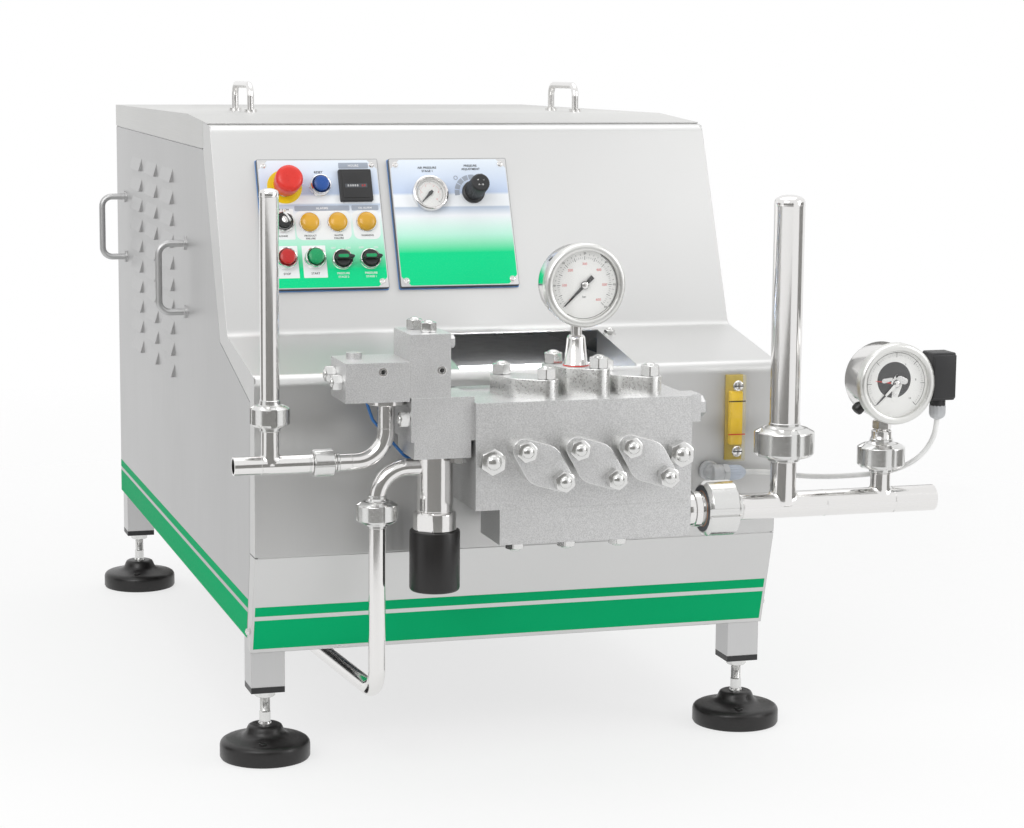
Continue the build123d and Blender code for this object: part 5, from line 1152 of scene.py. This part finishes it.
piece("regulator_neck", [lathe(flange, at.translation, OUT, 192, ribbed)], BLACK, stands_for=("air_regulator_body",))
knob = [(0, 0), (12.6, 0), (13.5, 0.9), (13.5, 22.5), (12.6, 24.8), (11, 26), (0, 26)]
piece("regulator_knob", [lathe([(r, h + 17.3) for r, h in knob], at.translation, OUT, 192, lambda r, a, h: r - 0.5 * (math.cos(a * 30) < 0) if r > 12.9 else r)], BLACK, "air_knob", ("air_regulator_knob",))
printed("regulator_marks", [("+     -", 0, 3.4, 4.4, 0.2), ("0 - 10", 0, -3.6, 3.2, 0.2)], at @ Matrix.Translation((0, 0, 43.3)), WHITE_INK, 0.05, "air_knob")
film = right_spot(REGULATOR, 0.25)
piece("regulator_scale", [arc_band(film, 19.5, 26.5, a, a + 19, 10, 0.12) for a in (60, 82, 104, 126, 148, 170)], CAPTION_GREY)
rims = [lathe([(2.0, 0), (3.1, 0), (3.1, 0.2), (2.0, 0.2)], (film @ Vector((x, y, 0))), OUT, 32) for x, y in ((-23, 22), (15, 25))]
piece("regulator_circles", rims, CAPTION_GREY)

# ---- Small fittings on the front

# Oil sight glass: a clear block with oil behind, held by two slotted screws
SIGHT_X, SIGHT_Z = 297.0, (386.0, 503.0)
clear = block((SIGHT_X - 13, SIGHT_X + 13), (-14, -1), SIGHT_Z, 1.4)
piece("sight_block", [clear], CLEAR, stands_for=("oil_sight_glass",))
piece("sight_oil", [block((SIGHT_X - 9, SIGHT_X + 9), (-13.0, -2), (408, 481), 2.0)], OIL, stands_for=("oil_sight_glass",))
piece("sight_back", [block((SIGHT_X - 12.4, SIGHT_X + 12.4), (-1.8, -0.05), (386.5, 502.5), 0.4)], SIGHT_BACK, stands_for=("oil_sight_glass",))
piece("sight_top_mark", [block((SIGHT_X - 12, SIGHT_X + 12), (-14.15, -13.9), (467, 468.4), 0.05)], BLACK_INK)
piece("sight_low_mark", [block((SIGHT_X - 12, SIGHT_X + 12), (-14.15, -13.9), (422, 423.4), 0.05)], RED_INK)
screw = [(0, 0), (7.2, 0), (7.4, 0.6), (7.4, 2.6), (6.4, 4), (4, 4.8), (0, 5)]
screws = []
for z in (SIGHT_Z[0] + 14, SIGHT_Z[1] - 14):
    screws.append(lathe(screw, (SIGHT_X, -14, z), FRONT, 40))
piece("sight_screws", screws, POLISH, stands_for=("oil_sight_glass",))
# The screw slots are not cut: a thin dark strip on each head is painted shade standing for the slot.
slot_shade_strips = [block((SIGHT_X - 6.4, SIGHT_X + 6.4), (-19.15, -18.6), (z - 0.8, z + 0.8), 0.1) for z in (SIGHT_Z[0] + 14, SIGHT_Z[1] - 14)]
piece("sight_screw_slot_shade", slot_shade_strips, PLATE_SIDE)

# Dome bolt beside the window
shelf_out = Vector((0, -32, 184)).normalized()
bolt_at = Vector((170, 149, 518 + 149 * 32 / 184))
bolt = nut(bolt_at, shelf_out, 13, 6, 4.0, 3.5)
washer = lathe([(0, 0), (9, 0), (9, 1.2), (0, 1.2)], bolt_at, shelf_out, 40)
piece("shelf_bolt", [washer, bolt], NUT)

# Cable gland on the front sheet and the gauge's angled plug
GLAND = Vector((250.0, -25.0, 373.0))
elbow = [
    sweep(arcs([(262, 0, 373), (262, -25, 373), (287, -25, 373)], 12, 12), 9.3, 48),
    lathe([(0, 0), (12, 0), (13.5, 1.5), (13.5, 6), (12, 7.5), (0, 7.5)], (262, 0, 373), FRONT, 56),
    lathe([(0, 8), (10.6, 8), (11.6, 9), (11.6, 21), (10.8, 22), (0, 22)], GLAND, RIGHT, 56),
    nut(GLAND + Vector((22, 0, 0)), RIGHT, 22, 9),
]
piece("gland_elbow", elbow, MILKY, stands_for=("cable_fittings",))
cap = [(3.9, 33), (9.9, 33), (10.3, 34), (10.3, 47), (9.2, 51), (7.4, 54), (5.6, 56), (3.9, 57.6)]
piece("gland_cap", [lathe([(r, h - 2) for r, h in cap], GLAND, RIGHT, 144, lambda r, a, h: r - 0.5 * (math.cos(a * 18) < 0) if r > 10 else r)], BLUISH, stands_for=("cable_fittings",))
plug_body = block((527, 561), (-131, -97), (477, 541), 2.5)
lid = block((527.8, 560.2), (-134, -130.5), (480, 538), 1.4)
piece("plug_box", [plug_body, lid, lathe([(0, 0), (12, 0), (12, 8), (0, 8)], (519.5, -114, 503), RIGHT, 48)], BLACK, stands_for=("cable_fittings",))
PLUG_HOLE = (544.0, -114.0)
piece("plug_gland_neck", [lathe([(4, 466), (10.5, 466), (10.5, 477), (4, 477)], (*PLUG_HOLE, 0), UP, 40)], BLACK, stands_for=("cable_fittings",))
dome_nut = [(3.9, 449.5), (5.4, 450.4), (8.4, 452), (10.2, 454.5), (11, 457.5), (11, 468), (10.4, 469), (3.9, 469)]
piece("plug_gland_nut", [lathe(dome_nut, (*PLUG_HOLE, 0), UP, 144, lambda r, a, h: r - 0.5 * (math.cos(a * 14) < 0) if r > 10.5 else r)], LIGHT_GREY, stands_for=("cable_fittings",))

# The gauge's cable, along the drawing's own route
CABLE_ROUTE = [
    (294, -25, 373), (322, -25, 373), (352, -26, 370), (386, -30, 364.5), (422, -38, 363.5), (455, -50, 366), (484, -66, 370.5),
    (509, -84, 380), (527, -100, 396), (538, -111, 417), (544, -114, 439), (544, -114, 462),
]
curve = bpy.data.curves.new("gauge_cable_run", "CURVE")
curve.dimensions = "3D"
curve.bevel_depth = 0.0035
curve.bevel_resolution = 6
curve.resolution_u = 12
curve.use_fill_caps = True
spline = curve.splines.new("NURBS")
spline.points.add(len(CABLE_ROUTE) - 1)
for point, at in zip(spline.points, CABLE_ROUTE):
    point.co = (*row(*at), 1.0)
spline.order_u = 3
spline.use_endpoint_u = True
cable = bpy.data.objects.new("gauge_cable_run", curve)
scene.collection.objects.link(cable)
curve.materials.append(CABLE_WHITE)
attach(cable, "machine")
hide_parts("gauge_cable")

# A thin air line from the second stage down to the actuator
piece("air_line", [sweep(arcs([(-232, -70, 500), (-222, -70, 470), (-178, -66, 420), (-150, -64, 412)], [14, 20], 8), 2.0, 20)], HOSE)

# ---- Camera, floor and light


def aim(thing, target):
    direction = target - thing.location
    thing.rotation_euler = direction.to_track_quat("-Z", "Y").to_euler()


camera_data = bpy.data.cameras.new("camera")
camera = bpy.data.objects.new("camera", camera_data)
scene.collection.objects.link(camera)
scene.camera = camera
yaw, pitch, roll = math.radians(17.0), math.radians(8.6), math.radians(0.5)
ahead = Vector((math.sin(yaw) * math.cos(pitch), math.cos(yaw) * math.cos(pitch), -math.sin(pitch)))
right = Vector((math.cos(yaw), -math.sin(yaw), 0.0))
up = right.cross(ahead)
tilted_right = right * math.cos(roll) + up * math.sin(roll)
tilted_up = up * math.cos(roll) - right * math.sin(roll)
EYE = row(-985.6, -3171.9, 961.3)
camera.matrix_world = Matrix.Translation(EYE) @ Matrix((tilted_right, tilted_up, -ahead)).transposed().to_4x4()
camera_data.sensor_width = 36.0
camera_data.lens = 2548.3 / 1024 * 36
camera_data.clip_end = 100
scene.view_settings.view_transform = "Standard"


def stage_sheet(name, points, material):
    data = bpy.data.meshes.new(name)
    data.from_pydata(points, [], [tuple(range(len(points)))])
    thing = bpy.data.objects.new(name, data)
    scene.collection.objects.link(thing)
    data.materials.append(material)
    return thing


FLOOR_SPAN = 14.0
FADE_START, FADE_END = 1.0, 3.2
FLOOR_GLOW = 0.72
floor_look = Shader("studio floor", (0.92, 0.92, 0.92), 0.0, 0.6)
texture = floor_look.noise((30, 30, 30), 2.0)
floor_look.set("Roughness", floor_look.span(texture, 0.55, 0.65))
distance = floor_look.node("ShaderNodeVectorMath", operation="LENGTH")
floor_look.link(floor_look.node("ShaderNodeTexCoord").outputs["Object"], distance.inputs[0])
fade = floor_look.span(distance.outputs["Value"], 0.0, 1.0, FADE_START, FADE_END)
white = floor_look.node("ShaderNodeEmission")
seen_by = floor_look.node("ShaderNodeLightPath")
seen_plain = floor_look.node("ShaderNodeMath", operation="MAXIMUM")
floor_look.link(seen_by.outputs["Is Camera Ray"], seen_plain.inputs[0])
floor_look.link(seen_by.outputs["Is Glossy Ray"], seen_plain.inputs[1])
seen_through = floor_look.node("ShaderNodeMath", operation="MAXIMUM")
floor_look.link(seen_plain.outputs[0], seen_through.inputs[0])
floor_look.link(seen_by.outputs["Is Transmission Ray"], seen_through.inputs[1])
glow_share = floor_look.span(seen_through.outputs[0], 0.0, FLOOR_GLOW, 0.0, 1.0)
lit = floor_look.node("ShaderNodeMixShader")
floor_look.link(glow_share, lit.inputs[0])
floor_look.link(floor_look.bsdf.outputs[0], lit.inputs[1])
floor_look.link(white.outputs[0], lit.inputs[2])
see_through = floor_look.node("ShaderNodeBsdfTransparent")
mixer = floor_look.node("ShaderNodeMixShader")
floor_look.link(fade, mixer.inputs[0])
floor_look.link(lit.outputs[0], mixer.inputs[1])
floor_look.link(see_through.outputs[0], mixer.inputs[2])
floor_look.link(mixer.outputs[0], floor_look.tree.nodes["Material Output"].inputs[0])
corners = [(-FLOOR_SPAN, -FLOOR_SPAN, 0), (FLOOR_SPAN, -FLOOR_SPAN, 0), (FLOOR_SPAN, FLOOR_SPAN, 0), (-FLOOR_SPAN, FLOOR_SPAN, 0)]
stage_sheet("floor", corners, floor_look.material)

# A white studio: full white where it is seen, mirrored or looked through, and a
# plain level where it lights the object
STUDIO_LEVEL = 0.72
world = bpy.data.worlds.new("studio")
scene.world = world
world.use_nodes = True
tree = world.node_tree
rays = tree.nodes.new("ShaderNodeLightPath")
seen = rays.outputs["Is Camera Ray"]
for kind in ("Is Glossy Ray", "Is Transmission Ray"):
    either = tree.nodes.new("ShaderNodeMath")
    either.operation = "MAXIMUM"
    tree.links.new(seen, either.inputs[0])
    tree.links.new(rays.outputs[kind], either.inputs[1])
    seen = either.outputs[0]
level = tree.nodes.new("ShaderNodeMapRange")
level.inputs["To Min"].default_value = STUDIO_LEVEL
level.inputs["To Max"].default_value = 1.0
tree.links.new(seen, level.inputs["Value"])
background = tree.nodes["Background"]
background.inputs[0].default_value = (1, 1, 1, 1)
tree.links.new(level.outputs[0], background.inputs[1])


def softbox(name, at, target, size, power):
    data = bpy.data.lights.new(name, "AREA")
    data.shape = "RECTANGLE"
    data.size, data.size_y = size
    data.energy = power
    thing = bpy.data.objects.new(name, data)
    scene.collection.objects.link(thing)
    thing.location = at
    aim(thing, target)
    return thing


middle = Vector((0, -0.2, 0.45))
softbox("key", Vector((-2.6, -3.0, 2.8)), middle, (2.4, 2.4), 58)
softbox("fill", Vector((3.2, -2.4, 1.8)), middle, (1.6, 2.4), 34)
softbox("top", Vector((0.2, 0.4, 3.4)), middle, (2.8, 2.8), 24)
chamber_light = softbox("chamber", row(38, 40, 505), row(38, 186, 468), (0.16, 0.03), 0.5)
chamber_light.data.spread = math.radians(70)
chamber_light.visible_camera = False

# Grey flags round the object, out of the picture: they give polished steel its streaks
CAMERA_SIDE = 17.0
FLAG_DISTANCE = 1.9
FLAG_GREY = Shader("grey flag", (0.30, 0.295, 0.285), 0.0, 0.9).material


def flag(name, start, end, low, high, steps=12):
    """A curved upright sheet between two angles to the right of the camera."""
    points, faces = [], []
    for k in range(steps + 1):
        turn = math.radians(start + (end - start) * k / steps - CAMERA_SIDE)
        x, y = FLAG_DISTANCE * math.sin(turn), -FLAG_DISTANCE * math.cos(turn)
        points += [(x, y, low), (x, y, high)]
    for k in range(steps):
        faces.append((2 * k, 2 * k + 2, 2 * k + 3, 2 * k + 1))
    data = bpy.data.meshes.new(name)
    data.from_pydata(points, [], faces)
    thing = bpy.data.objects.new(name, data)
    scene.collection.objects.link(thing)
    data.materials.append(FLAG_GREY)
    for ray in ("camera", "diffuse", "shadow", "transmission"):
        setattr(thing, "visible_" + ray, False)


for number, angles in enumerate(((-34, 28), (-100, -64), (64, 98), (146, 200))):
    flag(f"flag {number + 1}", *angles, 0.02, 0.95)
